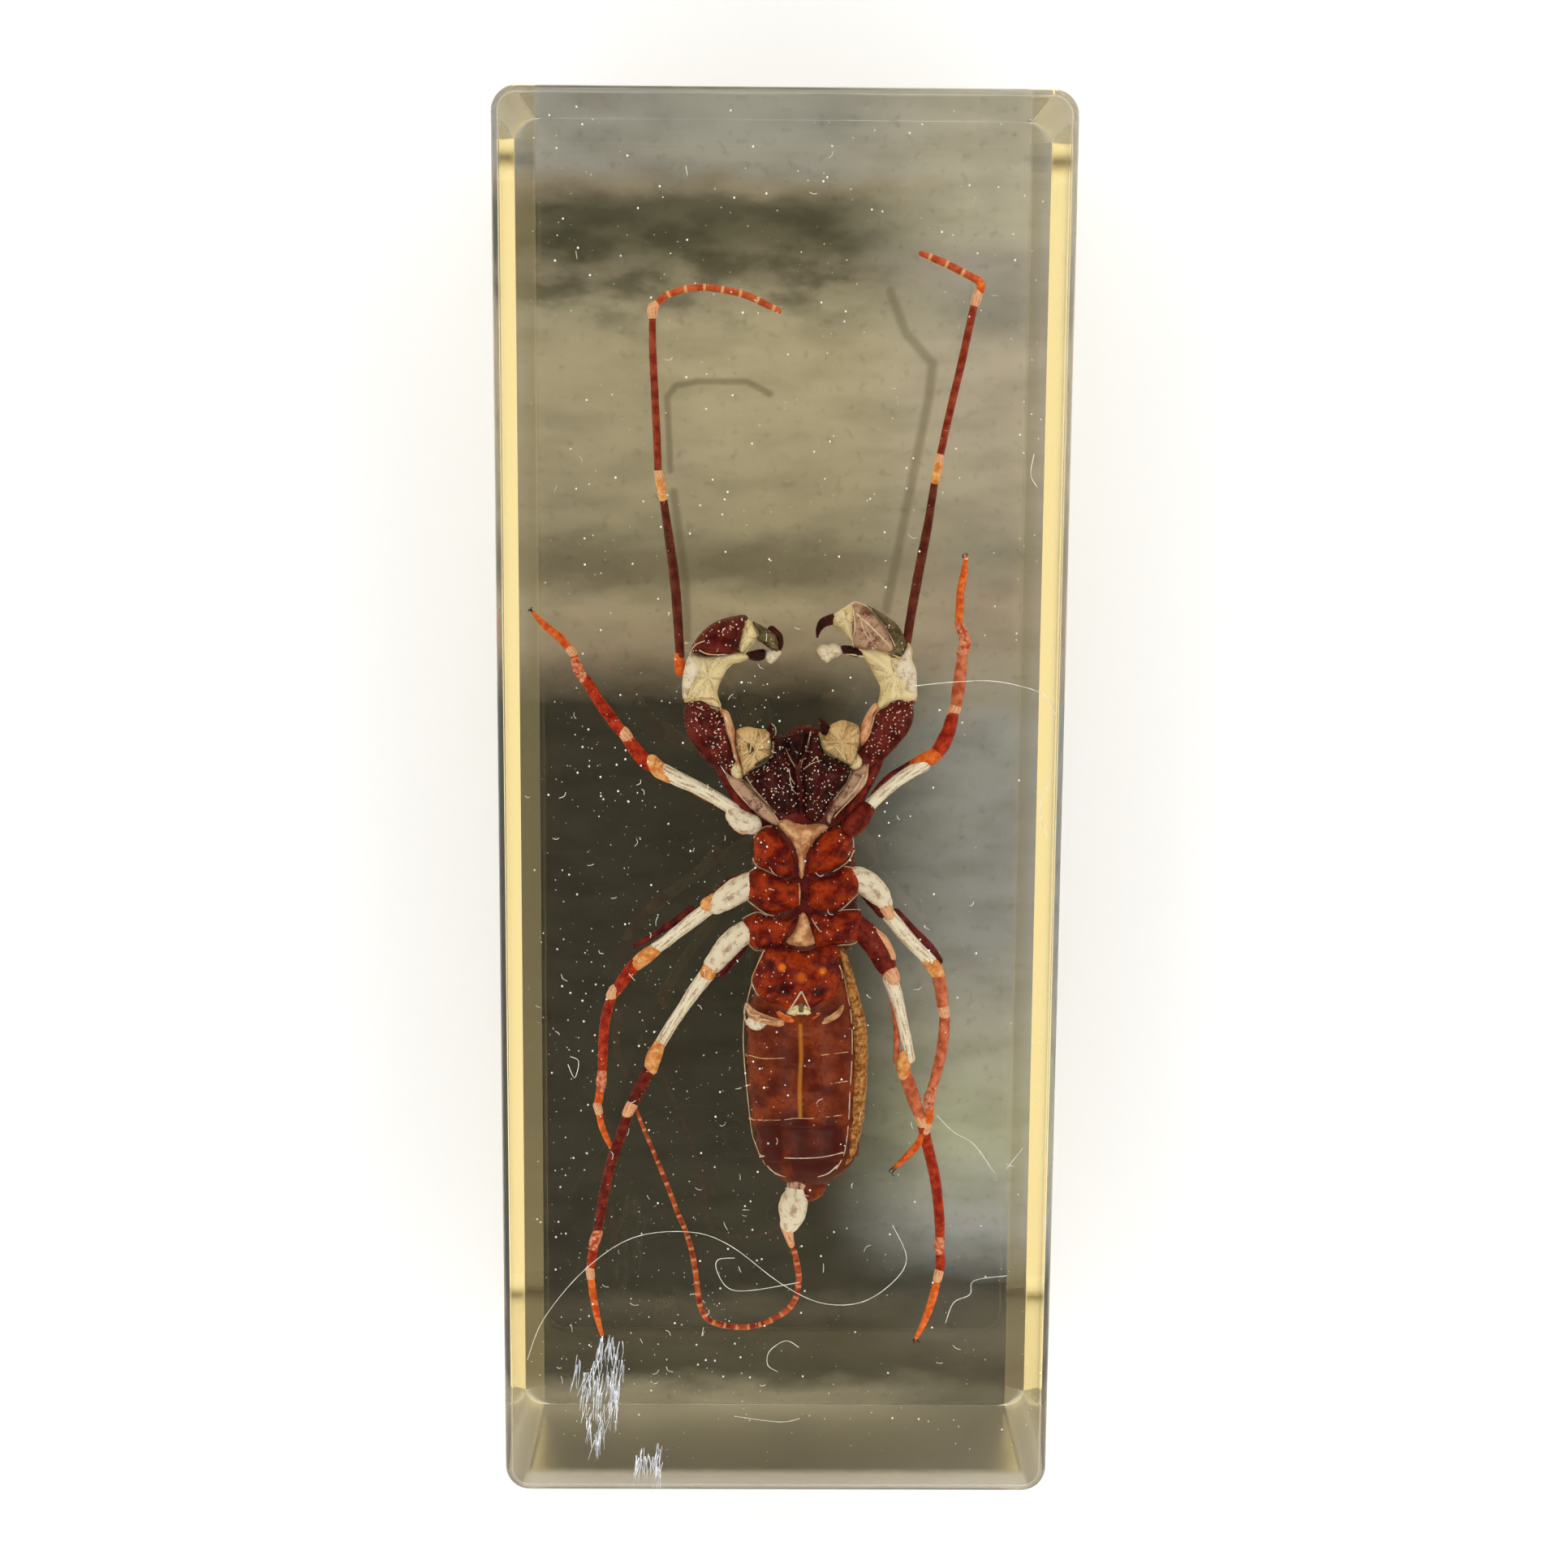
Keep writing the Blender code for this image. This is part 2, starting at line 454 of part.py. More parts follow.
def build_scorpion(scene_collection, material):
    """The animal: its carapace with every other part grown onto it."""
    solids = scorpion_solids()
    carapace = solids.pop("carapace")
    scorpion = make_object("whip_scorpion", carapace, material, scene_collection)
    add_boolean(scorpion, "UNION", guide_collection("body", solids, material))
    return scorpion


def build_resin(scene_collection, material, pocket):
    """The two halves of the clear block, parted at the animal's level and hollowed round it."""
    foot_level = BACKING_THICKNESS + GAP
    front_level = foot_level + RESIN_THICKNESS
    lower = back_half(foot_level, PARTING_LEVEL - GAP / 2.0)
    upper = front_half(PARTING_LEVEL + GAP / 2.0, front_level)
    for name, bm in (("resin_back_half", lower), ("resin_front_half", upper)):
        half = make_object(name, bm, material, scene_collection)
        add_boolean(half, "DIFFERENCE", pocket)


def build_backing(scene_collection, material):
    """Thin dark sheet that the block stands on."""
    width = BLOCK_WIDTH - 2.0 * BACKING_SIDE_INSET
    sheet = slab(width, BLOCK_LENGTH, 0.0, BACKING_THICKNESS, CORNER_RADIUS)
    make_object("dark_backing", sheet, material, scene_collection)


def main():
    """Build every piece of the block."""
    clear_scene()
    scene_collection = bpy.context.scene.collection
    resin = make_material("clear_resin", RESIN_COLOUR, 0.03, 1.0)
    chitin = make_material("dried_chitin", SCORPION_COLOUR, 0.35)
    backing = make_material("dark_sheet", BACKING_COLOUR, 0.5)
    build_backing(scene_collection, backing)
    build_scorpion(scene_collection, chitin)
    pocket = guide_collection("pocket", pocket_solids(), resin)
    build_resin(scene_collection, resin, pocket)


main()
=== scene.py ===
"""Looks of a whip scorpion sealed in a clear resin block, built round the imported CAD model.

Lengths are in millimetres until a mesh is made. The axes are the CAD's own: X across the block, Y along it
from the tail to the feelers, Z out of the front face. Outlines are pixels of the photograph, which PhotoEye
carries through the front face to a level inside the resin, so each part lies where the photograph shows it.
"""

import logging
import math
import random
from dataclasses import dataclass
from enum import Enum
from typing import Iterable, Mapping, Optional, Sequence, Union

import bmesh
import bpy
import numpy as np
from mathutils import Euler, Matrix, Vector, noise
from mathutils.bvhtree import BVHTree
from mathutils.geometry import delaunay_2d_cdt

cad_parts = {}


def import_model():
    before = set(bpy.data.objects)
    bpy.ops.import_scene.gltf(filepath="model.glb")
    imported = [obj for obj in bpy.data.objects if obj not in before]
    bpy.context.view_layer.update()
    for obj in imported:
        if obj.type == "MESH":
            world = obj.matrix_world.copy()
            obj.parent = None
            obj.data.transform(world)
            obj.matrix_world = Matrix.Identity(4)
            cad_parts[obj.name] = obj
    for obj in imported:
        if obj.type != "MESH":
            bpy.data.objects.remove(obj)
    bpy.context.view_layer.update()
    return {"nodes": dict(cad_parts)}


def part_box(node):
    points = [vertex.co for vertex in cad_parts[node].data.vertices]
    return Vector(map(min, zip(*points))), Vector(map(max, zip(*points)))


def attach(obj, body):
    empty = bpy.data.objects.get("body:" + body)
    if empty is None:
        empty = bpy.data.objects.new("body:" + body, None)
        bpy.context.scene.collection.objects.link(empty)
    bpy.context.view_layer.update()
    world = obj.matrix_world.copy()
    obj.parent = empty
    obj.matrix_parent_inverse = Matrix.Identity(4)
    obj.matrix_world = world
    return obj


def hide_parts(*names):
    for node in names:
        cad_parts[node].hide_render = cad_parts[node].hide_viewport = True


MM = 0.001
ROOT_BODY = "root"
MIDDLE_LEVEL = 19.0

Colour = tuple[float, float, float]
Pixel = tuple[float, float]
Line = Sequence[Pixel]
Lines = tuple[tuple[Pixel, ...], ...]
Station = tuple[float, float, float]
Out = tuple[Vector, int, int]
Rub = tuple[Pixel, Pixel, float, int]

log = logging.getLogger("whip_scorpion")


@dataclass(frozen=True)
class PhotoEye:
    """The photograph's camera, and the way from one of its pixels to a point inside the resin."""

    frame_px: int = 1932
    focal_px: float = 2800.0
    sensor_mm: float = 36.0
    place: tuple[float, float, float] = (-1.51, 28.91, 204.99)
    tilt_deg: tuple[float, float, float] = (-8.372, -0.513, 0.408)
    face_level: float = 28.5
    resin_ior: float = 1.5

    def turn(self) -> Euler:
        """Gives the camera's rotation."""
        return Euler([math.radians(angle) for angle in self.tilt_deg], "XYZ")

    def on_face(self, pixel: Pixel) -> tuple[Vector, Vector]:
        """Finds where the sight line of a pixel meets the front face, and how it goes on in the resin.

        Args:
            pixel: column and row in the photograph.

        Returns:
            The point on the face, and the direction behind it.
        """
        half = self.frame_px / 2
        ray = Vector(((pixel[0] - half) / self.focal_px, (half - pixel[1]) / self.focal_px, -1.0))
        ray.rotate(self.turn())
        ray.normalize()
        start = Vector(self.place)
        point = start + ray * ((self.face_level - start.z) / ray.z)
        bent = Vector((ray.x / self.resin_ior, ray.y / self.resin_ior, 0.0))
        bent.z = -math.sqrt(1.0 - bent.length_squared)
        return point, bent

    def at(self, pixel: Pixel, level: float) -> Vector:
        """Carries a pixel to a level inside the resin, as a point in millimetres."""
        point, ray = self.on_face(pixel)
        return point + ray * ((level - point.z) / ray.z)


EYE = PhotoEye()


def smooth_path(points: Sequence[Sequence[float]], steps: int,
                closed: bool = False) -> list[tuple[float, ...]]:
    """Runs a smooth curve through points that hold any number of values each.

    Args:
        points: the points to pass through.
        steps: how many parts each span is cut into.
        closed: whether the last point joins the first.

    Returns:
        The finer points.
    """
    count = len(points)
    if count < 3 and not closed:
        return [tuple(a + (b - a) * s / steps for a, b in zip(points[0], points[-1]))
                for s in range(steps + 1)]

    def pick(index: int) -> Sequence[float]:
        """Takes a point, round the loop or held at the ends."""
        return points[index % count] if closed else points[min(max(index, 0), count - 1)]

    made = []
    for index in range(count if closed else count - 1):
        before, start, end, after = (pick(index + k) for k in (-1, 0, 1, 2))
        for step in range(steps):
            t = step / steps
            made.append(tuple(
                0.5 * (2 * b + (c - a) * t + (2 * a - 5 * b + 4 * c - d) * t * t
                       + (3 * b - a - 3 * c + d) * t ** 3)
                for a, b, c, d in zip(before, start, end, after)))
    if not closed:
        made.append(tuple(points[-1]))
    return made


def line_gaps(spots: np.ndarray, line: np.ndarray, closed: bool = False) -> np.ndarray:
    """Measures how far each spot is from a line.

    Args:
        spots: array of N places in the plane.
        line: array of M places that the line joins.
        closed: whether the line's end joins its start.

    Returns:
        N distances.
    """
    starts = line if closed else line[:-1]
    spans = (np.roll(line, -1, 0) if closed else line[1:]) - starts
    offset = spots[:, None, :] - starts[None]
    along = np.clip((offset * spans).sum(2) / np.maximum((spans ** 2).sum(1), 1e-9), 0, 1)
    return np.sqrt(((offset - along[..., None] * spans) ** 2).sum(2)).min(1)


def inside(spots: np.ndarray, outline: np.ndarray) -> np.ndarray:
    """Tells which spots lie inside a closed outline.

    Args:
        spots: array of N places in the plane.
        outline: array of the outline's corners.

    Returns:
        N truth values.
    """
    ends = np.roll(outline, -1, 0)
    x, y = spots[:, :1], spots[:, 1:]
    crosses = (outline[:, 1] > y) != (ends[:, 1] > y)
    rise = np.where(ends[:, 1] == outline[:, 1], 1e-9, ends[:, 1] - outline[:, 1])
    at = (ends[:, 0] - outline[:, 0]) * (y - outline[:, 1]) / rise + outline[:, 0]
    return (crosses & (x < at)).sum(1) % 2 == 1


class Wire:
    """One socket of a material, on which arithmetic adds Math nodes."""

    def __init__(self, sheet: "Sheet", socket: bpy.types.NodeSocket) -> None:
        """Keeps the socket and the sheet that it is on."""
        self.sheet = sheet
        self.socket = socket

    def maths(self, operation: str, left: "Amount", right: "Amount" = 0.0) -> "Wire":
        """Adds one Math node and gives its result."""
        made = self.sheet.node("ShaderNodeMath", {"operation": operation}, {0: left, 1: right})
        return Wire(self.sheet, made.outputs[0])

    def __add__(self, other: "Amount") -> "Wire":
        """Adds a value."""
        return self.maths("ADD", self, other)

    __radd__ = __add__

    def __sub__(self, other: "Amount") -> "Wire":
        """Takes a value away."""
        return self.maths("SUBTRACT", self, other)

    def __rsub__(self, other: "Amount") -> "Wire":
        """Takes this away from a value."""
        return self.maths("SUBTRACT", other, self)

    def __mul__(self, other: "Amount") -> "Wire":
        """Multiplies by a value."""
        return self.maths("MULTIPLY", self, other)

    __rmul__ = __mul__

    def greatest(self, other: "Amount") -> "Wire":
        """Takes the larger of this and a value."""
        return self.maths("MAXIMUM", self, other)

    def least(self, other: "Amount") -> "Wire":
        """Takes the smaller of this and a value."""
        return self.maths("MINIMUM", self, other)

    def wave(self) -> "Wire":
        """Takes the sine."""
        return self.maths("SINE", self)

    def ease(self, low: float, high: float) -> "Wire":
        """Goes smoothly from 0 at low to 1 at high.

        Args:
            low: the value that gives 0.
            high: the value that gives 1; it may be the smaller one.

        Returns:
            The eased value.
        """
        flip = low > high
        made = self.sheet.node("ShaderNodeMapRange", {"interpolation_type": "SMOOTHSTEP"},
                               {"Value": self, "From Min": min(low, high), "From Max": max(low, high),
                                "To Min": 1.0 if flip else 0.0, "To Max": 0.0 if flip else 1.0})
        return Wire(self.sheet, made.outputs["Result"])


Amount = Union[Wire, float]
Tint = Union[Wire, Colour]


class Sheet:
    """The node tree of one material or sky, where every node comes from one method."""

    def __init__(self, holder: Union[bpy.types.Material, bpy.types.World]) -> None:
        """Empties the node tree of a material or sky."""
        self.holder = holder
        self.holder.use_nodes = True
        self.tree = self.holder.node_tree
        self.tree.nodes.clear()

    def node(self, kind: str, settings: Optional[Mapping[str, object]] = None,
             sockets: Optional[Mapping[Union[str, int], object]] = None) -> bpy.types.Node:
        """Adds a node, with its settings made before its sockets.

        Args:
            kind: the node's type.
            settings: its own properties, and the stops of a ramp as place and colour.
            sockets: values or wires for its inputs, by name or number.

        Returns:
            The node.
        """
        made = self.tree.nodes.new(kind)
        for key, value in (settings or {}).items():
            if key == "stops":
                self._set_stops(made.color_ramp, value)
            else:
                setattr(made, key, value)
        for key, value in (sockets or {}).items():
            socket = made.inputs[key]
            if isinstance(value, Wire):
                self.tree.links.new(value.socket, socket)
            elif socket.type == "RGBA" and len(value) == 3:
                socket.default_value = (*value, 1.0)
            else:
                socket.default_value = value
        return made

    @staticmethod
    def _set_stops(ramp: bpy.types.ColorRamp, stops: Sequence[tuple[float, Colour]]) -> None:
        """Gives a ramp its stops.

        Args:
            ramp: the ramp of the node.
            stops: place and colour of each stop, in order.
        """
        while len(ramp.elements) < len(stops):
            ramp.elements.new(1.0)
        for element, (place, colour) in zip(ramp.elements, stops):
            element.position = place
            element.color = (*colour, 1.0)

    def place(self) -> Wire:
        """Gives the surface's place in millimetres."""
        raw = Wire(self, self.node("ShaderNodeTexCoord").outputs["Object"])
        return self.vector("SCALE", raw, scale=1.0 / MM)

    def vector(self, operation: str, left: Union[Wire, Colour], right: Union[Wire, Colour] = (0.0, 0.0, 0.0),
               scale: Amount = 1.0) -> Wire:
        """Adds one Vector Math node.

        Args:
            operation: the node's operation.
            left: its first vector.
            right: its second vector.
            scale: its number, where the operation has one.

        Returns:
            The vector, or the number for a distance or a dot product.
        """
        sockets = {0: left, "Scale": scale} if operation == "SCALE" else {0: left, 1: right}
        made = self.node("ShaderNodeVectorMath", {"operation": operation}, sockets)
        return Wire(self, made.outputs["Value" if operation in ("DISTANCE", "DOT_PRODUCT") else "Vector"])

    def flat(self, place: Wire) -> Wire:
        """Lays a place down on the level zero."""
        return self.vector("MULTIPLY", place, (1.0, 1.0, 0.0))

    def line_gap(self, flat: Wire, corners: Sequence[Pixel]) -> Wire:
        """Measures how far a flat place is from a line.

        Args:
            flat: the place on the level zero.
            corners: the line's corners as X and Y in millimetres.

        Returns:
            The distance.
        """
        nearest = None
        for start, end in zip(corners, corners[1:]):
            span = Vector((end[0] - start[0], end[1] - start[1], 0.0))
            away = self.vector("SUBTRACT", flat, (*start, 0.0))
            share = self.vector("DOT_PRODUCT", away, tuple(span / span.length_squared))
            foot = self.vector("SCALE", tuple(span), scale=share.greatest(0.0).least(1.0))
            gap = self.vector("DISTANCE", away, foot)
            nearest = nearest.least(gap) if nearest else gap
        return nearest

    def axes(self, vector: Wire) -> tuple[Wire, Wire, Wire]:
        """Splits a vector into its three numbers."""
        parts = self.node("ShaderNodeSeparateXYZ", sockets={0: vector}).outputs
        return Wire(self, parts[0]), Wire(self, parts[1]), Wire(self, parts[2])

    def joined(self, x: Amount, y: Amount) -> Wire:
        """Makes a vector of two numbers, on the level zero."""
        return Wire(self, self.node("ShaderNodeCombineXYZ", sockets={0: x, 1: y}).outputs[0])

    def trait(self, name: str) -> Wire:
        """Reads a number that the mesh carries on its points."""
        return Wire(self, self.node("ShaderNodeAttribute", {"attribute_name": name}).outputs["Fac"])

    def grain(self, place: Wire, scale: float, detail: float) -> Wire:
        """Adds a noise of that many features a millimetre."""
        made = self.node("ShaderNodeTexNoise", sockets={"Vector": place, "Scale": scale, "Detail": detail})
        return Wire(self, made.outputs["Fac"])

    def cells(self, place: Wire, scale: float) -> Wire:
        """Gives the distance to the nearest of scattered points, that many a millimetre."""
        made = self.node("ShaderNodeTexVoronoi", sockets={"Vector": place, "Scale": scale})
        return Wire(self, made.outputs["Distance"])

    def blend(self, share: Amount, first: Tint, second: Tint) -> Wire:
        """Mixes two colours: the first at a share of 0, the second at 1."""
        made = self.node("ShaderNodeMix", {"data_type": "RGBA"}, {0: share, 6: first, 7: second})
        return Wire(self, made.outputs[2])

    def ramp(self, value: Wire, stops: Sequence[tuple[float, Colour]]) -> Wire:
        """Turns a number into a colour by stops."""
        made = self.node("ShaderNodeValToRGB", {"stops": stops}, {0: value})
        return Wire(self, made.outputs["Color"])

    def bump(self, height: Wire, strength: float, reach: float) -> Wire:
        """Turns a height from 0 to 1, which reaches that many millimetres, into a bent normal."""
        sockets = {"Strength": strength, "Distance": reach * MM, "Height": height}
        return Wire(self, self.node("ShaderNodeBump", sockets=sockets).outputs["Normal"])

    def surface(self, sockets: Mapping[str, object]) -> bpy.types.Material:
        """Ends the material in one Principled surface.

        Args:
            sockets: values or wires of the Principled node.

        Returns:
            The finished material.
        """
        shader = self.node("ShaderNodeBsdfPrincipled", sockets=sockets)
        self.node("ShaderNodeOutputMaterial", sockets={"Surface": Wire(self, shader.outputs[0])})
        return self.holder


@dataclass(frozen=True)
class Patch:
    """A soft round patch of another colour on the animal, as the photograph shows it."""

    pixel: Pixel
    radius: float
    colour: Colour
    level: float = 20.0


@dataclass(frozen=True)
class Streak:
    """A soft line of another colour, as the photograph shows it."""

    line: tuple[Pixel, ...]
    half: float
    colour: Colour
    share: float = 1.0
    level: float = 20.0

    def over(self, sheet: "Sheet", flat: Wire, colour: Wire) -> Wire:
        """Lays the streak over a colour, at a place on the level zero."""
        gap = sheet.line_gap(flat, [tuple(EYE.at(pixel, self.level).xy) for pixel in self.line])
        return sheet.blend(gap.ease(self.half * 1.6, self.half * 0.3) * self.share, colour, self.colour)


@dataclass(frozen=True)
class Finish:
    """What every finish has: a name, and one material that all its parts share."""

    name: str

    def material(self) -> bpy.types.Material:
        """Gives the finish's material, made the first time."""
        return bpy.data.materials.get(self.name) or self.make()

    def make(self) -> bpy.types.Material:
        """Makes the material."""
        raise NotImplementedError

    def sheet(self) -> Sheet:
        """Starts the material's node tree."""
        return Sheet(bpy.data.materials.new(self.name))


@dataclass(frozen=True)
class Chitin(Finish):
    """Glossy dried shell: two colours in clouds, darker veins, pale pinpoints and soft patches."""

    deep: Colour = (0.05, 0.005, 0.006)
    bright: Colour = (0.16, 0.02, 0.012)
    cloud_scale: float = 0.9
    pale: Colour = (0.75, 0.62, 0.52)
    pinpoint_scale: float = 2.2
    pinpoint_size: float = 0.0
    roughness: float = 0.24
    relief: float = 0.03
    patches: tuple[Patch, ...] = ()
    streaks: tuple[Streak, ...] = ()
    specular: float = 0.08
    coat: float = 0.06

    def make(self) -> bpy.types.Material:
        """Makes the shell's material.

        Returns:
            The material.
        """
        sheet = self.sheet()
        place = sheet.place()
        flat = sheet.flat(place)
        clouds = sheet.grain(place, self.cloud_scale, 4.0)
        fine = sheet.grain(place, 7.0, 5.0)
        colour = sheet.blend(clouds.ease(0.32, 0.68), self.deep, self.bright)
        colour = sheet.blend(sheet.grain(place, 3.2, 4.0).ease(0.50, 0.66) * 0.55, colour, self.deep)
        for patch in self.patches:
            centre = EYE.at(patch.pixel, patch.level)
            gap = sheet.vector("DISTANCE", flat, (centre.x, centre.y, 0.0)) + clouds * patch.radius
            colour = sheet.blend(gap.ease(patch.radius * 1.5, patch.radius * 0.7), colour, patch.colour)
        for streak in self.streaks:
            colour = streak.over(sheet, flat, colour)
        if self.pinpoint_size:
            dots = sheet.cells(place, self.pinpoint_scale).ease(self.pinpoint_size, self.pinpoint_size * 0.6)
            colour = sheet.blend(dots * clouds.ease(0.35, 0.6), colour, self.pale)
        return sheet.surface({
            "Base Color": colour, "Roughness": fine * 0.25 + (self.roughness - 0.1), "Coat Weight": self.coat,
            "Coat Roughness": 0.12, "Specular IOR Level": self.specular,
            "Normal": sheet.bump(fine * 0.6 + clouds * 0.4, 0.6, self.relief)})


@dataclass(frozen=True)
class Fibrous(Finish):
    """Cream limb or membrane: fibres or pleats that run along the part, with darker gaps."""

    light: Colour = (0.78, 0.70, 0.56)
    shade: Colour = (0.33, 0.20, 0.13)
    across: float = 9.0
    along: float = 0.5
    gap_share: float = 0.45
    roughness: float = 0.42
    relief: float = 0.06

    def make(self) -> bpy.types.Material:
        """Makes the fibrous material.

        Returns:
            The material.
        """
        sheet = self.sheet()
        place = sheet.place()
        lay = sheet.joined(sheet.trait("turn") * self.across, sheet.trait("run") * self.along)
        fibres = sheet.grain(lay, 1.0, 4.0)
        spots = sheet.grain(place, 5.0, 3.0)
        gaps = (fibres * 0.75 + spots * 0.25).ease(self.gap_share + 0.1, self.gap_share - 0.08)
        colour = sheet.blend(gaps, self.light, self.shade)
        colour = sheet.blend(spots.ease(0.62, 0.75) * 0.5, colour, (0.92, 0.88, 0.80))
        return sheet.surface({
            "Base Color": colour, "Roughness": spots * 0.3 + (self.roughness - 0.15),
            "Specular IOR Level": 0.25, "Normal": sheet.bump(fibres, 0.7, self.relief)})


@dataclass(frozen=True)
class Ringed(Finish):
    """Whip and feeler skin: short red joints with a pale ring between them."""

    deep: Colour = (0.24, 0.016, 0.006)
    bright: Colour = (0.58, 0.10, 0.03)
    ring: Colour = (0.85, 0.50, 0.26)
    pitch: float = 1.0
    ring_share: float = 0.2

    def make(self) -> bpy.types.Material:
        """Makes the ringed material.

        Returns:
            The material.
        """
        sheet = self.sheet()
        place = sheet.place()
        clouds = sheet.grain(place, 1.4, 3.0)
        swing = (sheet.trait("run") * (2 * math.pi / self.pitch) + clouds).wave()
        edge = 1.0 - 2.0 * self.ring_share
        rings = swing.ease(edge - 0.12, edge + 0.12)
        colour = sheet.blend(clouds.ease(0.35, 0.65), self.deep, self.bright)
        return sheet.surface({
            "Base Color": sheet.blend(rings, colour, self.ring), "Roughness": clouds * 0.2 + 0.2,
            "Specular IOR Level": 0.2, "Normal": sheet.bump(rings + clouds * 0.3, 0.5, 0.04)})


@dataclass(frozen=True)
class Powder(Finish):
    """Dust, lint, hair or a rub mark: a plain dull colour that varies a little from speck to speck."""

    light: Colour = (0.86, 0.87, 0.84)
    shade: Colour = (0.55, 0.56, 0.52)
    roughness: float = 0.75

    def make(self) -> bpy.types.Material:
        """Makes the powder's material.

        Returns:
            The material.
        """
        sheet = self.sheet()
        place = sheet.place()
        spots = sheet.grain(place, 1.7, 2.0)
        colour = sheet.blend(spots.ease(0.35, 0.65), self.shade, self.light)
        return sheet.surface({"Base Color": colour, "Roughness": self.roughness,
                              "Normal": sheet.bump(sheet.grain(place, 20.0, 2.0), 0.4, 0.02)})


@dataclass(frozen=True)
class ClearResin(Finish):
    """Polished clear casting resin: plain transmission, refraction and a faint yellow absorption."""

    tint: Colour = (0.95, 0.80, 0.25)
    density_per_metre: float = 20.0
    ior: float = 1.5
    rub_scale: float = 0.35
    side_wall: tuple[float, float] = (21.9, 22.2)
    side_haze: float = 0.10
    corner: tuple[float, float] = (20.3, 20.8)
    corner_end: float = 54.1
    corner_top: tuple[float, float] = (28.4, 28.2)
    corner_haze: float = 0.55
    head_wall: tuple[float, float] = (55.6, 55.95)
    head_haze: float = 0.05
    tail_haze: tuple[tuple[float, float], ...] = ((1.0, 0.34), (11.0, 0.36), (14.0, 0.34), (21.0, 0.32),
        (23.0, 0.62), (28.5, 0.70))

    def make(self) -> bpy.types.Material:
        """Makes the resin's material.

        Returns:
            The material.
        """
        sheet = self.sheet()
        place = sheet.place()
        x, y, z = sheet.axes(place)
        across = x.greatest(0.0 - x)
        side = across.ease(*self.side_wall) * self.side_haze
        end = y.greatest(0.0 - y).ease(self.corner_end, self.corner_end + 0.2)
        corner = across.ease(*self.corner) * end * z.ease(*self.corner_top) * self.corner_haze
        head = y.ease(*self.head_wall) * self.head_haze
        top = self.tail_haze[-1][0]
        tail = sheet.ramp(z * (1.0 / top), [(level / top, (haze,) * 3) for level, haze in self.tail_haze])
        haze = side.greatest(head).greatest((0.0 - y).ease(*self.head_wall) * tail).greatest(corner)
        rubbed = sheet.grain(place, self.rub_scale, 4.0).ease(0.6, 0.85) * 0.02 + haze
        shader = sheet.node("ShaderNodeBsdfPrincipled", sockets={
            "Base Color": (1.0, 1.0, 1.0), "Transmission Weight": 1.0, "IOR": self.ior, "Roughness": rubbed,
            "Normal": sheet.bump(sheet.grain(place, 0.12, 1.0), 0.05, 0.02)})
        body = sheet.node("ShaderNodeVolumeAbsorption", sockets={
            "Color": self.tint, "Density": self.density_per_metre})
        sheet.node("ShaderNodeOutputMaterial", sockets={
            "Surface": Wire(sheet, shader.outputs[0]), "Volume": Wire(sheet, body.outputs[0])})
        return sheet.holder


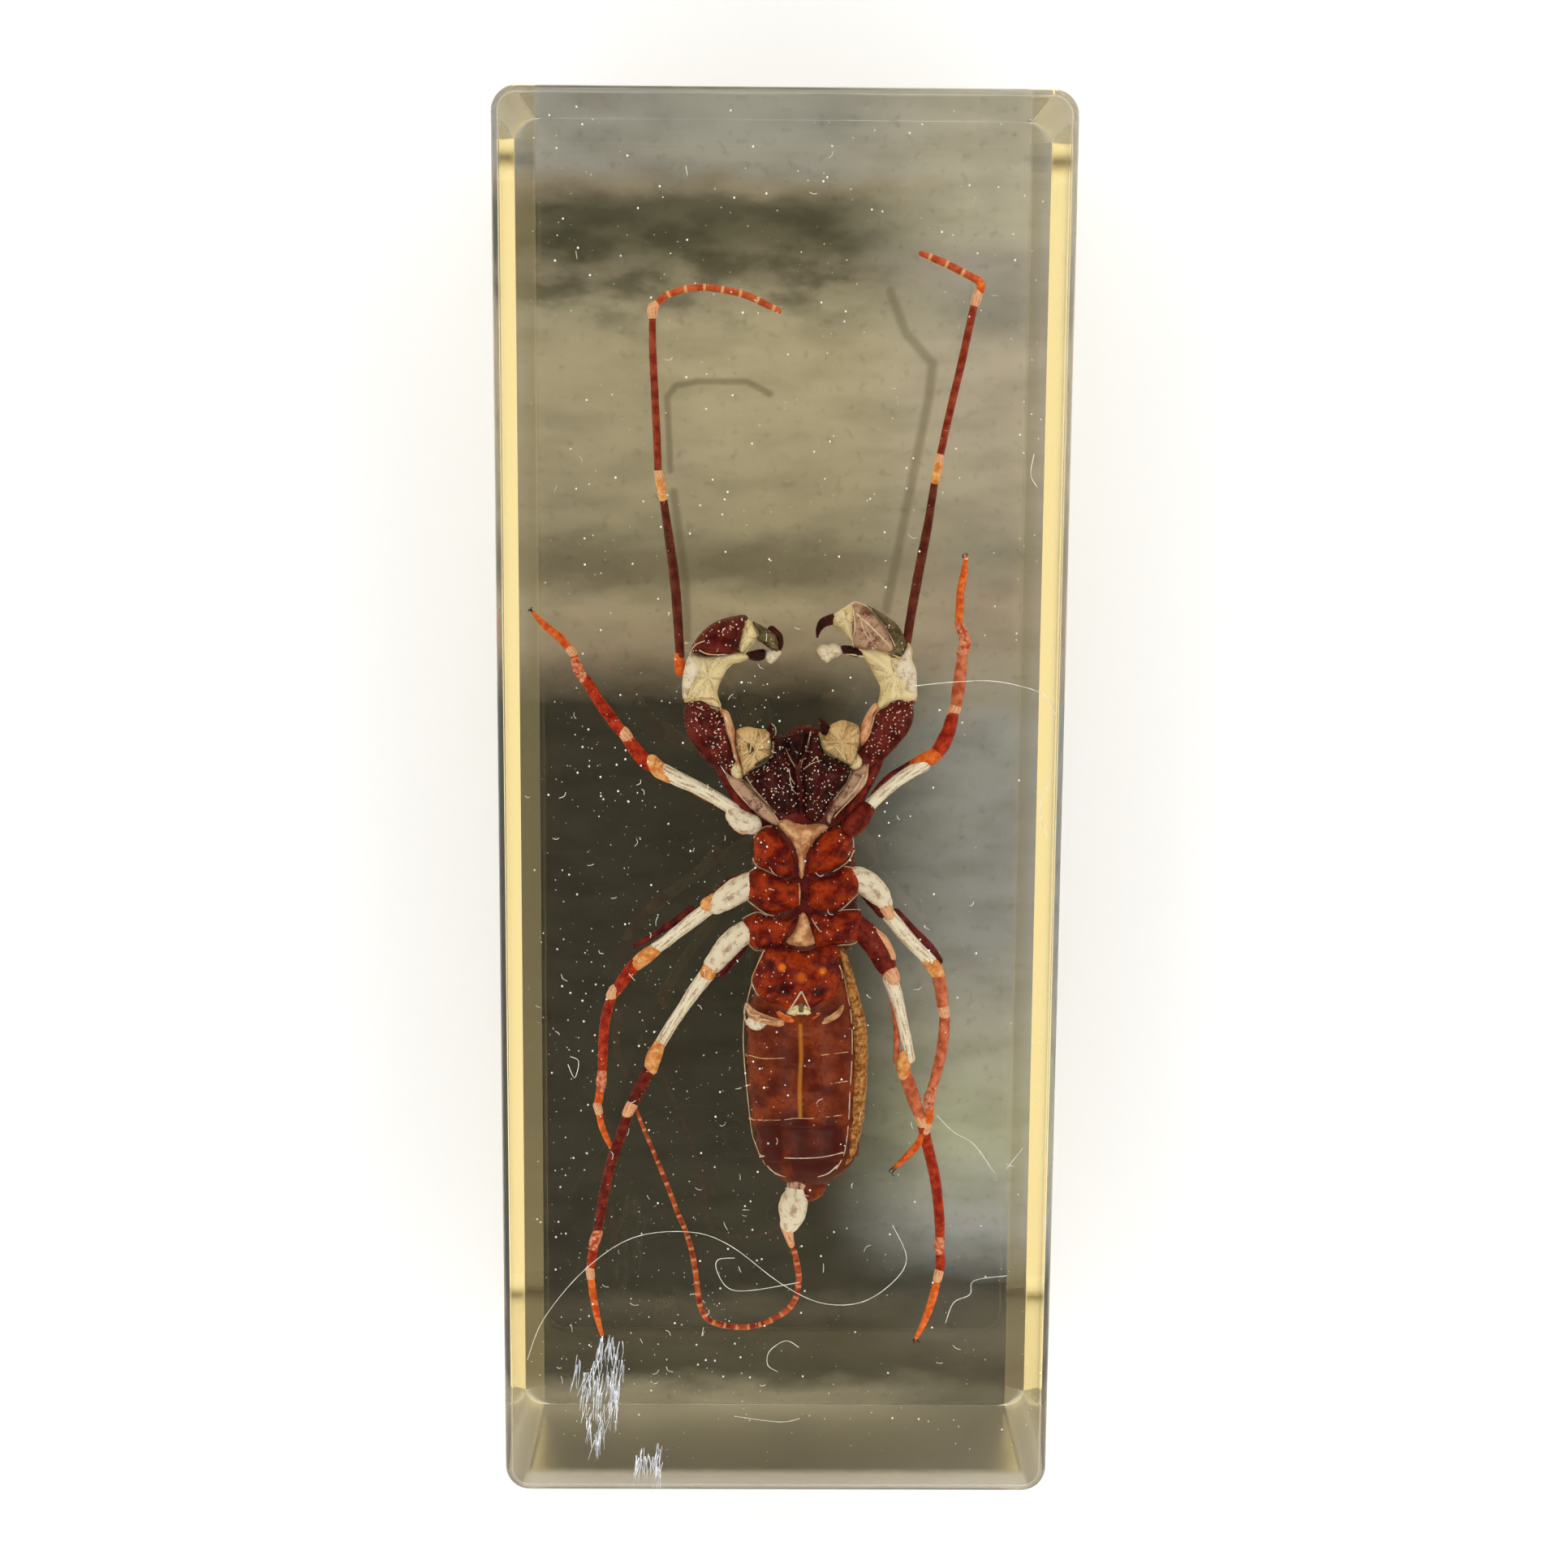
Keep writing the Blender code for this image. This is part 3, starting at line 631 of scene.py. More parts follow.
@dataclass(frozen=True)
class PaintedLightSheet(Finish):
    """The dark sheet behind the resin: a painted reflection of the room in cross bands, dark blots and a
    paler right side, painted feeler shadows and painted shade at the long edges.
    """

    level: float = 1.0
    dark: Colour = (0.062, 0.064, 0.068)
    # Rows and colours of the painted reflection of the room, for the left side and the right side.
    bands: tuple[tuple[float, Colour], ...] = ((105, (0.52, 0.60, 0.86)), (205, (0.50, 0.56, 0.79)),
        (232, (0.42, 0.41, 0.46)), (252, (0.17, 0.18, 0.19)), (300, (0.18, 0.19, 0.19)),
        (335, (0.34, 0.34, 0.38)), (385, (0.52, 0.54, 0.60)), (430, (0.60, 0.61, 0.67)),
        (560, (0.56, 0.57, 0.64)), (650, (0.48, 0.49, 0.54)), (685, (0.30, 0.30, 0.32)),
        (712, (0.32, 0.32, 0.34)), (745, (0.58, 0.58, 0.64)), (795, (0.50, 0.47, 0.54)),
        (835, (0.24, 0.23, 0.26)), (866, (0.071, 0.075, 0.083)), (900, (0.071, 0.075, 0.083)),
        (1585, (0.071, 0.075, 0.083)), (1612, (0.15, 0.15, 0.17)), (1640, (0.100, 0.10, 0.11)),
        (1690, (0.071, 0.075, 0.083)), (1716, (0.38, 0.39, 0.44)))
    right_reflection_bands: tuple[tuple[float, Colour], ...] = ((105, (0.74, 0.80, 1.00)), (280, (0.74, 0.80, 1.00)),
        (320, (0.60, 0.64, 0.90)), (385, (0.50, 0.55, 0.74)), (430, (0.70, 0.72, 0.94)),
        (600, (0.66, 0.68, 0.86)), (680, (0.50, 0.53, 0.67)), (750, (0.64, 0.62, 0.77)),
        (850, (0.56, 0.60, 0.79)), (900, (0.52, 0.62, 0.96)), (1150, (0.50, 0.60, 0.94)),
        (1220, (0.60, 0.70, 1.00)), (1390, (0.70, 0.84, 1.00)), (1510, (0.50, 0.60, 0.96)),
        (1575, (0.12, 0.13, 0.17)), (1640, (0.20, 0.21, 0.24)), (1690, (0.100, 0.10, 0.12)),
        (1716, (0.20, 0.21, 0.24)))
    # Where the painted reflection turns to its paler right side.
    side_from: float = 3.0
    side_to: float = 17.0
    # The long edges, where painted shade darkens the sheet that outside light reaches beside the chamfer.
    rim: tuple[float, float] = (20.5, 20.8)
    rim_shade_colour: Colour = (0.034, 0.032, 0.026)
    rim_share: float = 0.54
    # Painted shadows of the feelers, as soft darker lines on the sheet.
    feeler_shadows: tuple[Streak, ...] = (Streak(((826, 580), (822, 489), (833, 475), (860, 470), (920, 470),
        (949, 485)), 0.28, (0.17, 0.16, 0.15), 0.5, 1.0), Streak(((830, 606), (845, 718), (847, 787)), 0.35,
        (0.15, 0.14, 0.13), 0.45, 1.0), Streak(((1097, 359), (1116, 410), (1149, 448), (1145, 488),
        (1121, 606), (1092, 751)), 0.4, (0.20, 0.19, 0.18), 0.5, 1.0))

    def make(self) -> bpy.types.Material:
        """Makes the sheet's material.

        Returns:
            The material.
        """
        sheet = self.sheet()
        place = sheet.place()
        x, y, z = sheet.axes(place)
        clouds = sheet.grain(place, 0.06, 3.0)
        blots = sheet.grain(sheet.joined(x * 0.5, y), 0.42, 4.0)
        smears = sheet.grain(sheet.joined(x * 0.3, y * 0.8), 0.45, 6.0)
        fine = sheet.grain(place, 1.1, 5.0)
        # Painted reflection of the room: cross bands by row, paler towards the right side.
        first, last = self._row(self.bands[0][0]), self._row(self.bands[-1][0])
        along = (y - first + (clouds - 0.5) * 2.0 + (blots - 0.5) * 3.0) * (1.0 / (last - first))
        left = sheet.ramp(along, self._stops(self.bands))
        right = sheet.ramp(along, self._stops(self.right_reflection_bands))
        colour = sheet.blend((x + (clouds - 0.5) * 5.0).ease(self.side_from, self.side_to), left, right)
        # Painted reflection: dark blots in the upper band, on the left.
        reflected_blots = blots.ease(0.38, 0.66) * along.ease(0.075, 0.10) * along.ease(0.19, 0.14) * x.ease(12.0, 2.0)
        colour = sheet.blend(reflected_blots * 0.6, colour, (0.08, 0.088, 0.085))
        colour = sheet.blend(smears.ease(0.35, 0.75) * 0.22, colour, (0.0, 0.0, 0.0))
        flat = sheet.flat(place)
        # Painted shadows of the feelers.
        for feeler_shadow in self.feeler_shadows:
            colour = feeler_shadow.over(sheet, flat, colour)
        colour = sheet.blend(fine.ease(0.55, 0.75) * 0.2, colour, self.dark)
        # Painted shade along the long edges.
        colour = sheet.blend(x.greatest(0.0 - x).ease(*self.rim) * self.rim_share, colour, self.rim_shade_colour)
        colour = sheet.blend(z.ease(self.level - 0.02, self.level - 0.08), colour, self.dark)
        return sheet.surface({"Base Color": colour, "Roughness": fine * 0.2 + 0.45, "Specular IOR Level": 0.0,
                              "Normal": sheet.bump(fine, 0.2, 0.05)})

    def _row(self, row: float) -> float:
        """Gives the Y in millimetres where the photograph's middle column shows a row on the sheet."""
        return EYE.at((EYE.frame_px / 2, row), self.level).y

    def _stops(self, bands: Sequence[tuple[float, Colour]]) -> list[tuple[float, Colour]]:
        """Turns the painted reflection bands at rows of the photograph into stops of a ramp."""
        first, last = self._row(self.bands[0][0]), self._row(self.bands[-1][0])
        return [((self._row(row) - first) / (last - first), colour) for row, colour in bands]


@dataclass(frozen=True)
class PaleFloor(Finish):
    """The plain pale floor."""

    colour: Colour = (0.90, 0.90, 0.895)

    def make(self) -> bpy.types.Material:
        """Makes the floor's material.

        Returns:
            The material.
        """
        sheet = self.sheet()
        grain = sheet.grain(sheet.place(), 0.02, 2.0)
        shade = sheet.blend(grain, self.colour, tuple(value * 0.985 for value in self.colour))
        return sheet.surface({"Base Color": shade, "Roughness": 0.8})


@dataclass(frozen=True)
class Crease:
    """A raised rib, or a groove where the height is below zero, along a line of the photograph."""

    line: tuple[Pixel, ...]
    height: float
    width: float


@dataclass(frozen=True)
class Tube:
    """One part of a limb: stations of column, row and half width, between the levels of its two ends."""

    finish: Finish
    levels: tuple[float, float]
    stations: tuple[Station, ...]


class Carving:
    """Gathers the parts of one piece, each with its finish, and makes one mesh of them."""

    CAP_ANGLES = (18, 40, 62, 80)
    ROUND_SIDES = 14
    LIMB_STEPS = 5
    LIMB_LUMPS = 0.07
    LUMP_PITCH = 1.6
    EDGE_STEPS = 3
    GRID_SPACING = 0.17
    GRAIN_HEIGHT = 0.05
    GRAIN_PITCH = 1.7
    FLAT_RIM = 0.25

    def __init__(self, name: str) -> None:
        """Starts an empty piece of that name."""
        self.name = name
        self.points: list[Vector] = []
        self.faces: list[tuple[int, ...]] = []
        self.finishes: list[Finish] = []
        self.finish_of: list[int] = []
        self.run: list[float] = []
        self.turn: list[float] = []

    def add(self, points: Iterable[Vector], faces: Iterable[Sequence[int]], finish: Finish,
            run: Optional[Sequence[float]] = None, turn: Optional[Sequence[float]] = None) -> None:
        """Adds one closed part.

        Args:
            points: its corners in millimetres.
            faces: its faces as numbers of those corners.
            finish: what covers it.
            run: how far along the part each corner is.
            turn: how far round or across the part each corner is, from 0 to 1.
        """
        first = len(self.points)
        self.points.extend(points)
        added = len(self.points) - first
        self.run.extend(run if run is not None else [0.0] * added)
        self.turn.extend(turn if turn is not None else [0.0] * added)
        if finish not in self.finishes:
            self.finishes.append(finish)
        number = self.finishes.index(finish)
        for face in faces:
            self.faces.append(tuple(first + corner for corner in face))
            self.finish_of.append(number)

    def sweep(self, path: Sequence[tuple[Vector, float]], finish: Finish, sides: int = ROUND_SIDES,
              flatness: float = 1.0, lumps: float = 0.0) -> None:
        """Adds a tube with rounded ends along a path.

        Args:
            path: centre and half width of each station.
            finish: what covers it.
            sides: number of sides.
            flatness: depth as a share of the width.
            lumps: how much the half width wanders, as a share.
        """
        centres = [centre for centre, _ in path]
        tangents = [(centres[min(k + 1, len(path) - 1)] - centres[max(k - 1, 0)]).normalized()
                    for k in range(len(path))]
        rings = []
        for sign, index in ((-1, 0), (1, len(path) - 1)):
            angles = [math.radians(angle) for angle in self.CAP_ANGLES]
            cap = [(centres[index] + tangents[index] * (sign * math.sin(a) * path[index][1]),
                    path[index][1] * math.cos(a), tangents[index]) for a in angles]
            rings.append(list(reversed(cap)) if sign < 0 else cap)
        body = [(centre, half, tangent) for (centre, half), tangent in zip(path, tangents)]
        stack = rings[0] + body + rings[1]
        points, run, turn, gone = [], [], [], 0.0
        for index, (centre, half, tangent) in enumerate(stack):
            side = tangent.cross(Vector((0.0, 0.0, 1.0)))
            side = side.normalized() if side.length > 1e-4 else Vector((1.0, 0.0, 0.0))
            up = side.cross(tangent).normalized()
            gone += (centre - stack[index - 1][0]).length if index else 0.0
            for step in range(sides):
                angle = 2 * math.pi * step / sides
                out = side * math.cos(angle) + up * (math.sin(angle) * flatness)
                swell = 1.0 + lumps * noise.noise((centre + out * half) * self.LUMP_PITCH)
                points.append(centre + out * (half * swell))
                run.append(gone)
                turn.append(abs(step / sides - 0.5) * 2)
        last = (len(stack) - 1) * sides
        faces = [(ring + s, ring + (s + 1) % sides, ring + sides + (s + 1) % sides, ring + sides + s)
                 for ring in range(0, last, sides) for s in range(sides)]
        faces.append(tuple(reversed(range(sides))))
        faces.append(tuple(range(last, last + sides)))
        self.add(points, faces, finish, run, turn)

    def tube(self, tube: Tube) -> None:
        """Adds one part of a limb.

        Args:
            tube: its stations and finish.
        """
        low, high = tube.levels
        rise = (high - low) / (len(tube.stations) - 1)
        stations = [(*station, low + rise * k) for k, station in enumerate(tube.stations)]
        path = [(EYE.at((x, y), level), half) for x, y, half, level in smooth_path(stations, self.LIMB_STEPS)]
        self.sweep(path, tube.finish, lumps=self.LIMB_LUMPS)

    def plate(self, outline: Line, level: float, crown: float, depth: float, finish: Finish, round_off: float,
              creases: Sequence[Crease]) -> None:
        """Adds a domed closed plate with ribs and grooves.

        Args:
            outline: its edge in pixels.
            level: height of its edge.
            crown: how far its middle stands above the edge.
            depth: how far its underside hangs below the edge.
            finish: what covers it.
            round_off: how far in from the edge the dome reaches its full height.
            creases: ribs and grooves on it.
        """
        corners = [tuple(EYE.at(pixel, level + crown * 0.4).xy) for pixel in outline]
        edge = np.array(smooth_path(corners, self.EDGE_STEPS, closed=True))
        spacing = self.GRID_SPACING
        low, high = edge.min(0), edge.max(0)
        columns = np.arange(low[0], high[0], spacing)
        rows = np.arange(low[1], high[1], spacing * 0.87)
        grid = np.array([(x + k % 2 * spacing / 2, y) for k, y in enumerate(rows) for x in columns])
        grid = grid[inside(grid, edge)]
        grid = grid[line_gaps(grid, edge, closed=True) > spacing * 0.55]
        spots = [Vector(spot) for spot in (*edge, *grid)]
        flat, _, triangles, *_ = delaunay_2d_cdt(spots, [], [list(range(len(edge)))], 1, 1e-6)
        places = np.array([(v.x, v.y) for v in flat])
        gaps = line_gaps(places, edge, closed=True)
        share = np.minimum(gaps / round_off, 1.0)
        dome = np.sqrt(np.maximum(1.0 - (1.0 - share) ** 2, 0.0))
        relief = np.zeros(len(places))
        for crease in creases:
            line = np.array([tuple(EYE.at(p, level + crown).xy) for p in crease.line])
            relief += crease.height * np.exp(-(line_gaps(places, line) / crease.width) ** 2)
        pitch = self.GRAIN_PITCH
        grains = np.array([noise.noise(Vector((x * pitch, y * pitch, level))) for x, y in places])
        relief += grains * self.GRAIN_HEIGHT
        top = level + crown * dome + relief * np.minimum(gaps / self.FLAT_RIM, 1.0)
        bottom = level - depth * dome
        rim = gaps < 1e-4
        count = len(places)
        below = {index: count + k for k, index in enumerate(np.flatnonzero(~rim))}
        points = [Vector((x, y, z)) for (x, y), z in zip(places, top)]
        points += [Vector((*places[index], bottom[index])) for index in below]
        faces = [tuple(face) for face in triangles]
        faces += [tuple(below.get(corner, corner) for corner in reversed(face)) for face in triangles]
        middle = places.mean(0)
        away = places - middle
        run = list(np.hypot(away[:, 0], away[:, 1]))
        turn = list(np.arctan2(away[:, 1], away[:, 0]) / (2 * math.pi) + 0.5)
        run += [run[index] for index in below]
        turn += [turn[index] for index in below]
        self.add(points, faces, finish, run, turn)

    def bead(self, centre: Vector, radius: float, finish: Finish, squash: float = 1.0) -> None:
        """Adds one small round speck.

        Args:
            centre: its middle.
            radius: its half width.
            finish: what covers it.
            squash: its depth as a share of the width.
        """
        tall = (1 + math.sqrt(5)) / 2
        corners = [(-1, tall, 0), (1, tall, 0), (-1, -tall, 0), (1, -tall, 0), (0, -1, tall), (0, 1, tall),
            (0, -1, -tall), (0, 1, -tall), (tall, 0, -1), (tall, 0, 1), (-tall, 0, -1), (-tall, 0, 1)]
        faces = [(0, 11, 5), (0, 5, 1), (0, 1, 7), (0, 7, 10), (0, 10, 11), (1, 5, 9), (5, 11, 4),
            (11, 10, 2), (10, 7, 6), (7, 1, 8), (3, 9, 4), (3, 4, 2), (3, 2, 6), (3, 6, 8), (3, 8, 9),
            (4, 9, 5), (2, 4, 11), (6, 2, 10), (8, 6, 7), (9, 8, 1)]
        size = radius / math.hypot(1, tall)
        points = [centre + Vector((x * size, y * size, z * size * squash)) for x, y, z in corners]
        self.add(points, faces, finish)

    def strand(self, points: Sequence[Vector], half: float, finish: Finish, steps: int = 4, sides: int = 5,
               taper: float = 1.0) -> None:
        """Adds a thin strand, such as a fibre, a hair or a rib.

        Args:
            points: what it passes through.
            half: its half width.
            finish: what covers it.
            steps: how many parts each span is cut into.
            sides: number of sides.
            taper: half width of the far end as a share.
        """
        path = [Vector(p) for p in smooth_path([tuple(p) for p in points], steps)]
        count = max(len(path) - 1, 1)
        self.sweep([(p, half * (1.0 + (taper - 1.0) * k / count)) for k, p in enumerate(path)], finish, sides)

    def ground(self) -> BVHTree:
        """Gives what a ray can hit of the parts added so far."""
        return BVHTree.FromPolygons(self.points, self.faces)

    def make(self, slot: str, *nodes: str) -> bpy.types.Object:
        """Makes the mesh, dresses it and sets it on its body.

        Args:
            slot: the name of a material slot; not used.
            nodes: the CAD nodes that it stands for.

        Returns:
            The piece.
        """
        mesh = bpy.data.meshes.new(self.name)
        mesh.from_pydata([point * MM for point in self.points], [], self.faces)
        for finish in self.finishes:
            mesh.materials.append(finish.material())
        mesh.polygons.foreach_set("material_index", self.finish_of)
        for trait, values in (("run", self.run), ("turn", self.turn)):
            mesh.attributes.new(trait, "FLOAT", "POINT").data.foreach_set("value", values)
        mesh.shade_smooth()
        mesh.update()
        piece = bpy.data.objects.new(self.name, mesh)
        bpy.context.scene.collection.objects.link(piece)
        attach(piece, ROOT_BODY)
        if nodes:
            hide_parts(*nodes)
        log.info("%s: %d faces, %d finishes", self.name, len(self.faces), len(self.finishes))
        return piece


def landing(ground: BVHTree, pixel: Pixel, lift: float) -> Vector:
    """Finds where the sight line of a pixel lands on what lies inside the resin.

    Args:
        ground: what can be hit.
        pixel: column and row in the photograph.
        lift: how far above the surface the point stands.

    Returns:
        The point, on the animal's middle level where nothing is hit.
    """
    start, ray = EYE.on_face(pixel)
    spot, normal, _, _ = ground.ray_cast(start, ray)
    if spot is None:
        return EYE.at(pixel, MIDDLE_LEVEL)
    return spot + normal * lift


CHITIN_SLOT = "dried_chitin"
RESIN_SLOT = "clear_resin"
ANIMAL_NODE = "whip_scorpion"


class Skin(Enum):
    """The finishes of the animal's parts."""

    MAROON = Chitin("maroon_shell", deep=(0.055, 0.0, 0.0), bright=(0.18, 0.018, 0.015))
    BLACK_MAROON = Chitin("black_maroon_shell", deep=(0.016, 0.0, 0.0), bright=(0.065, 0.003, 0.002),
        pale=(0.62, 0.44, 0.36), pinpoint_scale=2.4, pinpoint_size=0.10, relief=0.012)
    MAHOGANY = Chitin("mahogany_shell", deep=(0.10, 0.0, 0.0), bright=(0.44, 0.040, 0.0), cloud_scale=1.0,
        pale=(0.80, 0.42, 0.22), pinpoint_scale=2.0, pinpoint_size=0.06)
    FIRST_PLATE = Chitin("first_plate_shell", deep=(0.10, 0.0, 0.0), bright=(0.42, 0.040, 0.0),
        cloud_scale=1.0, patches=(Patch((963, 1218), 1.0, (0.045, 0.0, 0.0)), Patch((1008, 1218), 1.0,
        (0.045, 0.0, 0.0)), Patch((948, 1186), 0.65, (0.06, 0.0, 0.0)), Patch((1028, 1188), 0.65,
        (0.06, 0.0, 0.0)), Patch((963, 1190), 0.45, (0.85, 0.20, 0.01)), Patch((1013, 1195), 0.45,
        (0.85, 0.20, 0.01)), Patch((987, 1203), 0.6, (0.60, 0.11, 0.004))))
    SCARLET = Chitin("scarlet_shell", deep=(0.24, 0.006, 0.0), bright=(0.56, 0.050, 0.012), cloud_scale=1.4)
    BRICK = Chitin("brick_shell", deep=(0.44, 0.075, 0.035), bright=(0.78, 0.25, 0.14), cloud_scale=1.6)
    WINE = Chitin("wine_shell", deep=(0.085, 0.002, 0.0), bright=(0.25, 0.022, 0.010), cloud_scale=1.4)
    EMBER = Chitin("ember_shell", deep=(0.62, 0.070, 0.006), bright=(0.92, 0.22, 0.04), cloud_scale=1.8)
    AMBER = Chitin("amber_knee", deep=(0.70, 0.22, 0.05), bright=(0.96, 0.58, 0.26), cloud_scale=1.8,
        pale=(0.98, 0.88, 0.68), pinpoint_scale=3.0, pinpoint_size=0.14)
    JOINT = Chitin("rose_joint", deep=(0.50, 0.06, 0.02), bright=(0.88, 0.42, 0.27), cloud_scale=2.6,
        pale=(0.95, 0.88, 0.78), pinpoint_scale=3.0, pinpoint_size=0.16)
    BONE = Fibrous("bone_fibre", light=(0.97, 0.94, 0.90), shade=(0.46, 0.28, 0.17), gap_share=0.43)
    CREAM = Fibrous("cream_ring", light=(0.88, 0.52, 0.34), shade=(0.66, 0.20, 0.10), relief=0.03)
    SILVER = Fibrous("silver_skin", light=(0.92, 0.86, 0.80), shade=(0.50, 0.34, 0.27), across=5.0, along=1.2,
                     gap_share=0.42)
    PLEATED = Fibrous("pleated_membrane", light=(0.92, 0.82, 0.55), shade=(0.50, 0.34, 0.16), across=14.0,
                      along=0.3, gap_share=0.42, relief=0.08)
    GOLDEN = Fibrous("golden_lobe", light=(0.80, 0.58, 0.32), shade=(0.34, 0.20, 0.08), across=22.0,
                     along=0.25, gap_share=0.44, relief=0.08)
    MAUVE = Fibrous("mauve_skin", light=(0.56, 0.36, 0.28), shade=(0.15, 0.045, 0.03), across=6.0, along=0.8)
    OLIVE = Chitin("olive_hand", deep=(0.06, 0.045, 0.022), bright=(0.22, 0.17, 0.09), cloud_scale=1.2,
        pale=(0.7, 0.62, 0.46), pinpoint_scale=2.0, pinpoint_size=0.10)
    TAN = Chitin("tan_border", deep=(0.20, 0.06, 0.008), bright=(0.66, 0.32, 0.10), cloud_scale=3.0,
        pale=(0.82, 0.62, 0.42), pinpoint_scale=4.0, pinpoint_size=0.16, relief=0.08)
    STERNAL = Chitin("tan_sternum", deep=(0.46, 0.18, 0.08), bright=(0.94, 0.60, 0.36), cloud_scale=1.3,
        pale=(0.90, 0.72, 0.55), pinpoint_scale=2.4, pinpoint_size=0.1, relief=0.05)
    CLAW = Chitin("black_claw", deep=(0.008, 0.002, 0.002), bright=(0.035, 0.010, 0.006))
    WHIP = Ringed("ringed_whip", ring=(0.66, 0.27, 0.10), ring_share=0.13)
    FEELER_TIP = Ringed("ringed_feeler_tip", deep=(0.46, 0.06, 0.018), bright=(0.66, 0.14, 0.05), pitch=1.45,
        ring=(0.80, 0.46, 0.24), ring_share=0.06)
    FEELER_RED = Chitin("feeler_red", deep=(0.19, 0.012, 0.004), bright=(0.40, 0.065, 0.028), cloud_scale=1.2)
    FEELER_BROWN = Chitin("feeler_brown", deep=(0.07, 0.006, 0.002), bright=(0.17, 0.032, 0.016))
    RIB = Powder("cream_rib", light=(0.84, 0.62, 0.42), shade=(0.60, 0.34, 0.20), roughness=0.4)
    WHITE_RIB = Powder("white_rib", light=(0.90, 0.82, 0.70), shade=(0.70, 0.54, 0.42), roughness=0.4)
    PINPOINT = Powder("pale_pinpoint", light=(0.98, 0.92, 0.84), shade=(0.80, 0.60, 0.50))
    HAIR = Powder("pale_hair", light=(0.90, 0.84, 0.72), shade=(0.66, 0.50, 0.34))


def part(skin: Skin, start: float, end: float, *stations: Station) -> Tube:
    """Writes one part of a limb in short, with the levels of its two ends."""
    return Tube(skin.value, (start, end), stations)


def ring(level: float, *stations: Station) -> Tube:
    """Writes a level ring of pale joint skin in short."""
    return part(Skin.CREAM, level, level, *stations)


@dataclass(frozen=True)
class Limb:
    """One leg or feeler: its parts from the body out, and the claws at its tip."""

    name: str
    parts: tuple[Tube, ...]
    claws: Lines = ()
    claw_half: float = 0.07
    claw_level: float = 17.9
    hairs: int = 26
    hair_length: float = 0.45
    hair_half: float = 0.014
    seed: int = 3

    def build(self) -> bpy.types.Object:
        """Makes the limb.

        Returns:
            The piece.
        """
        carving = Carving(self.name)
        for tube in self.parts:
            carving.tube(tube)
        self._add_hairs(carving)
        for claw in self.claws:
            points = [EYE.at(pixel, self.claw_level) for pixel in claw]
            carving.strand(points, self.claw_half, Skin.CLAW.value, taper=0.35, sides=7)
        return carving.make(CHITIN_SLOT, ANIMAL_NODE)

    def _add_hairs(self, carving: Carving) -> None:
        """Sets short pale bristles on the limb's sides.

        Args:
            carving: the limb so far.
        """
        dice = random.Random(self.seed + len(self.name))
        reach = len(carving.points)
        for _ in range(self.hairs):
            foot = carving.points[dice.randrange(reach)]
            lean = Vector((dice.uniform(-1, 1), dice.uniform(-1, 0.4), dice.uniform(-0.3, 0.6))).normalized()
            length = self.hair_length * dice.uniform(0.5, 1.0)
            bend = foot + lean * (length * 0.5) + Vector((0.0, -0.04, 0.03))
            carving.strand([foot, bend, foot + lean * length], self.hair_half, Skin.HAIR.value, 2, 4, 0.4)


LEG_2_LEFT = Limb("leg_2_left", (
    part(Skin.SILVER, 19.0, 18.8, (926, 1016, 0.85), (914, 1012, 0.95), (905, 1004, 0.75)),
    ring(19.2, (906, 1021, 0.16), (916, 1026, 0.16), (926, 1022, 0.16)),
    part(Skin.BONE, 18.7, 18.3, (905, 998, 0.52), (888, 987, 0.55), (860, 971, 0.56), (836, 960, 0.60),
        (818, 950, 0.62)),
    part(Skin.MAROON, 18.2, 18.0, (898, 1000, 0.25), (872, 984, 0.30), (846, 972, 0.22)),
    part(Skin.AMBER, 18.3, 18.2, (826, 956, 0.62), (813, 949, 0.68), (803, 938, 0.58)),
    part(Skin.SCARLET, 18.1, 18.0, (803, 944, 0.52), (793, 936, 0.58), (780, 920, 0.55), (772, 909, 0.46)),
    part(Skin.CREAM, 18.05, 18.0, (773, 909, 0.50), (768, 902, 0.50)),
    part(Skin.SCARLET, 18.0, 17.9, (767, 903, 0.44), (757, 890, 0.50), (740, 867, 0.48), (725, 843, 0.44),
        (719, 834, 0.36)),
    part(Skin.JOINT, 17.95, 17.95, (719, 836, 0.40), (712, 824, 0.44), (709, 814, 0.36)),
    part(Skin.EMBER, 17.9, 17.9, (711, 817, 0.30), (705, 804, 0.33)),
    ring(17.95, (706, 805, 0.36), (702, 800, 0.34)),
    part(Skin.EMBER, 17.9, 17.9, (703, 801, 0.30), (690, 786, 0.33), (672, 771, 0.28), (657, 755, 0.16))),
    claws=(((658, 756), (652, 751), (651, 754)), ((657, 755), (654, 750), (656, 748))))

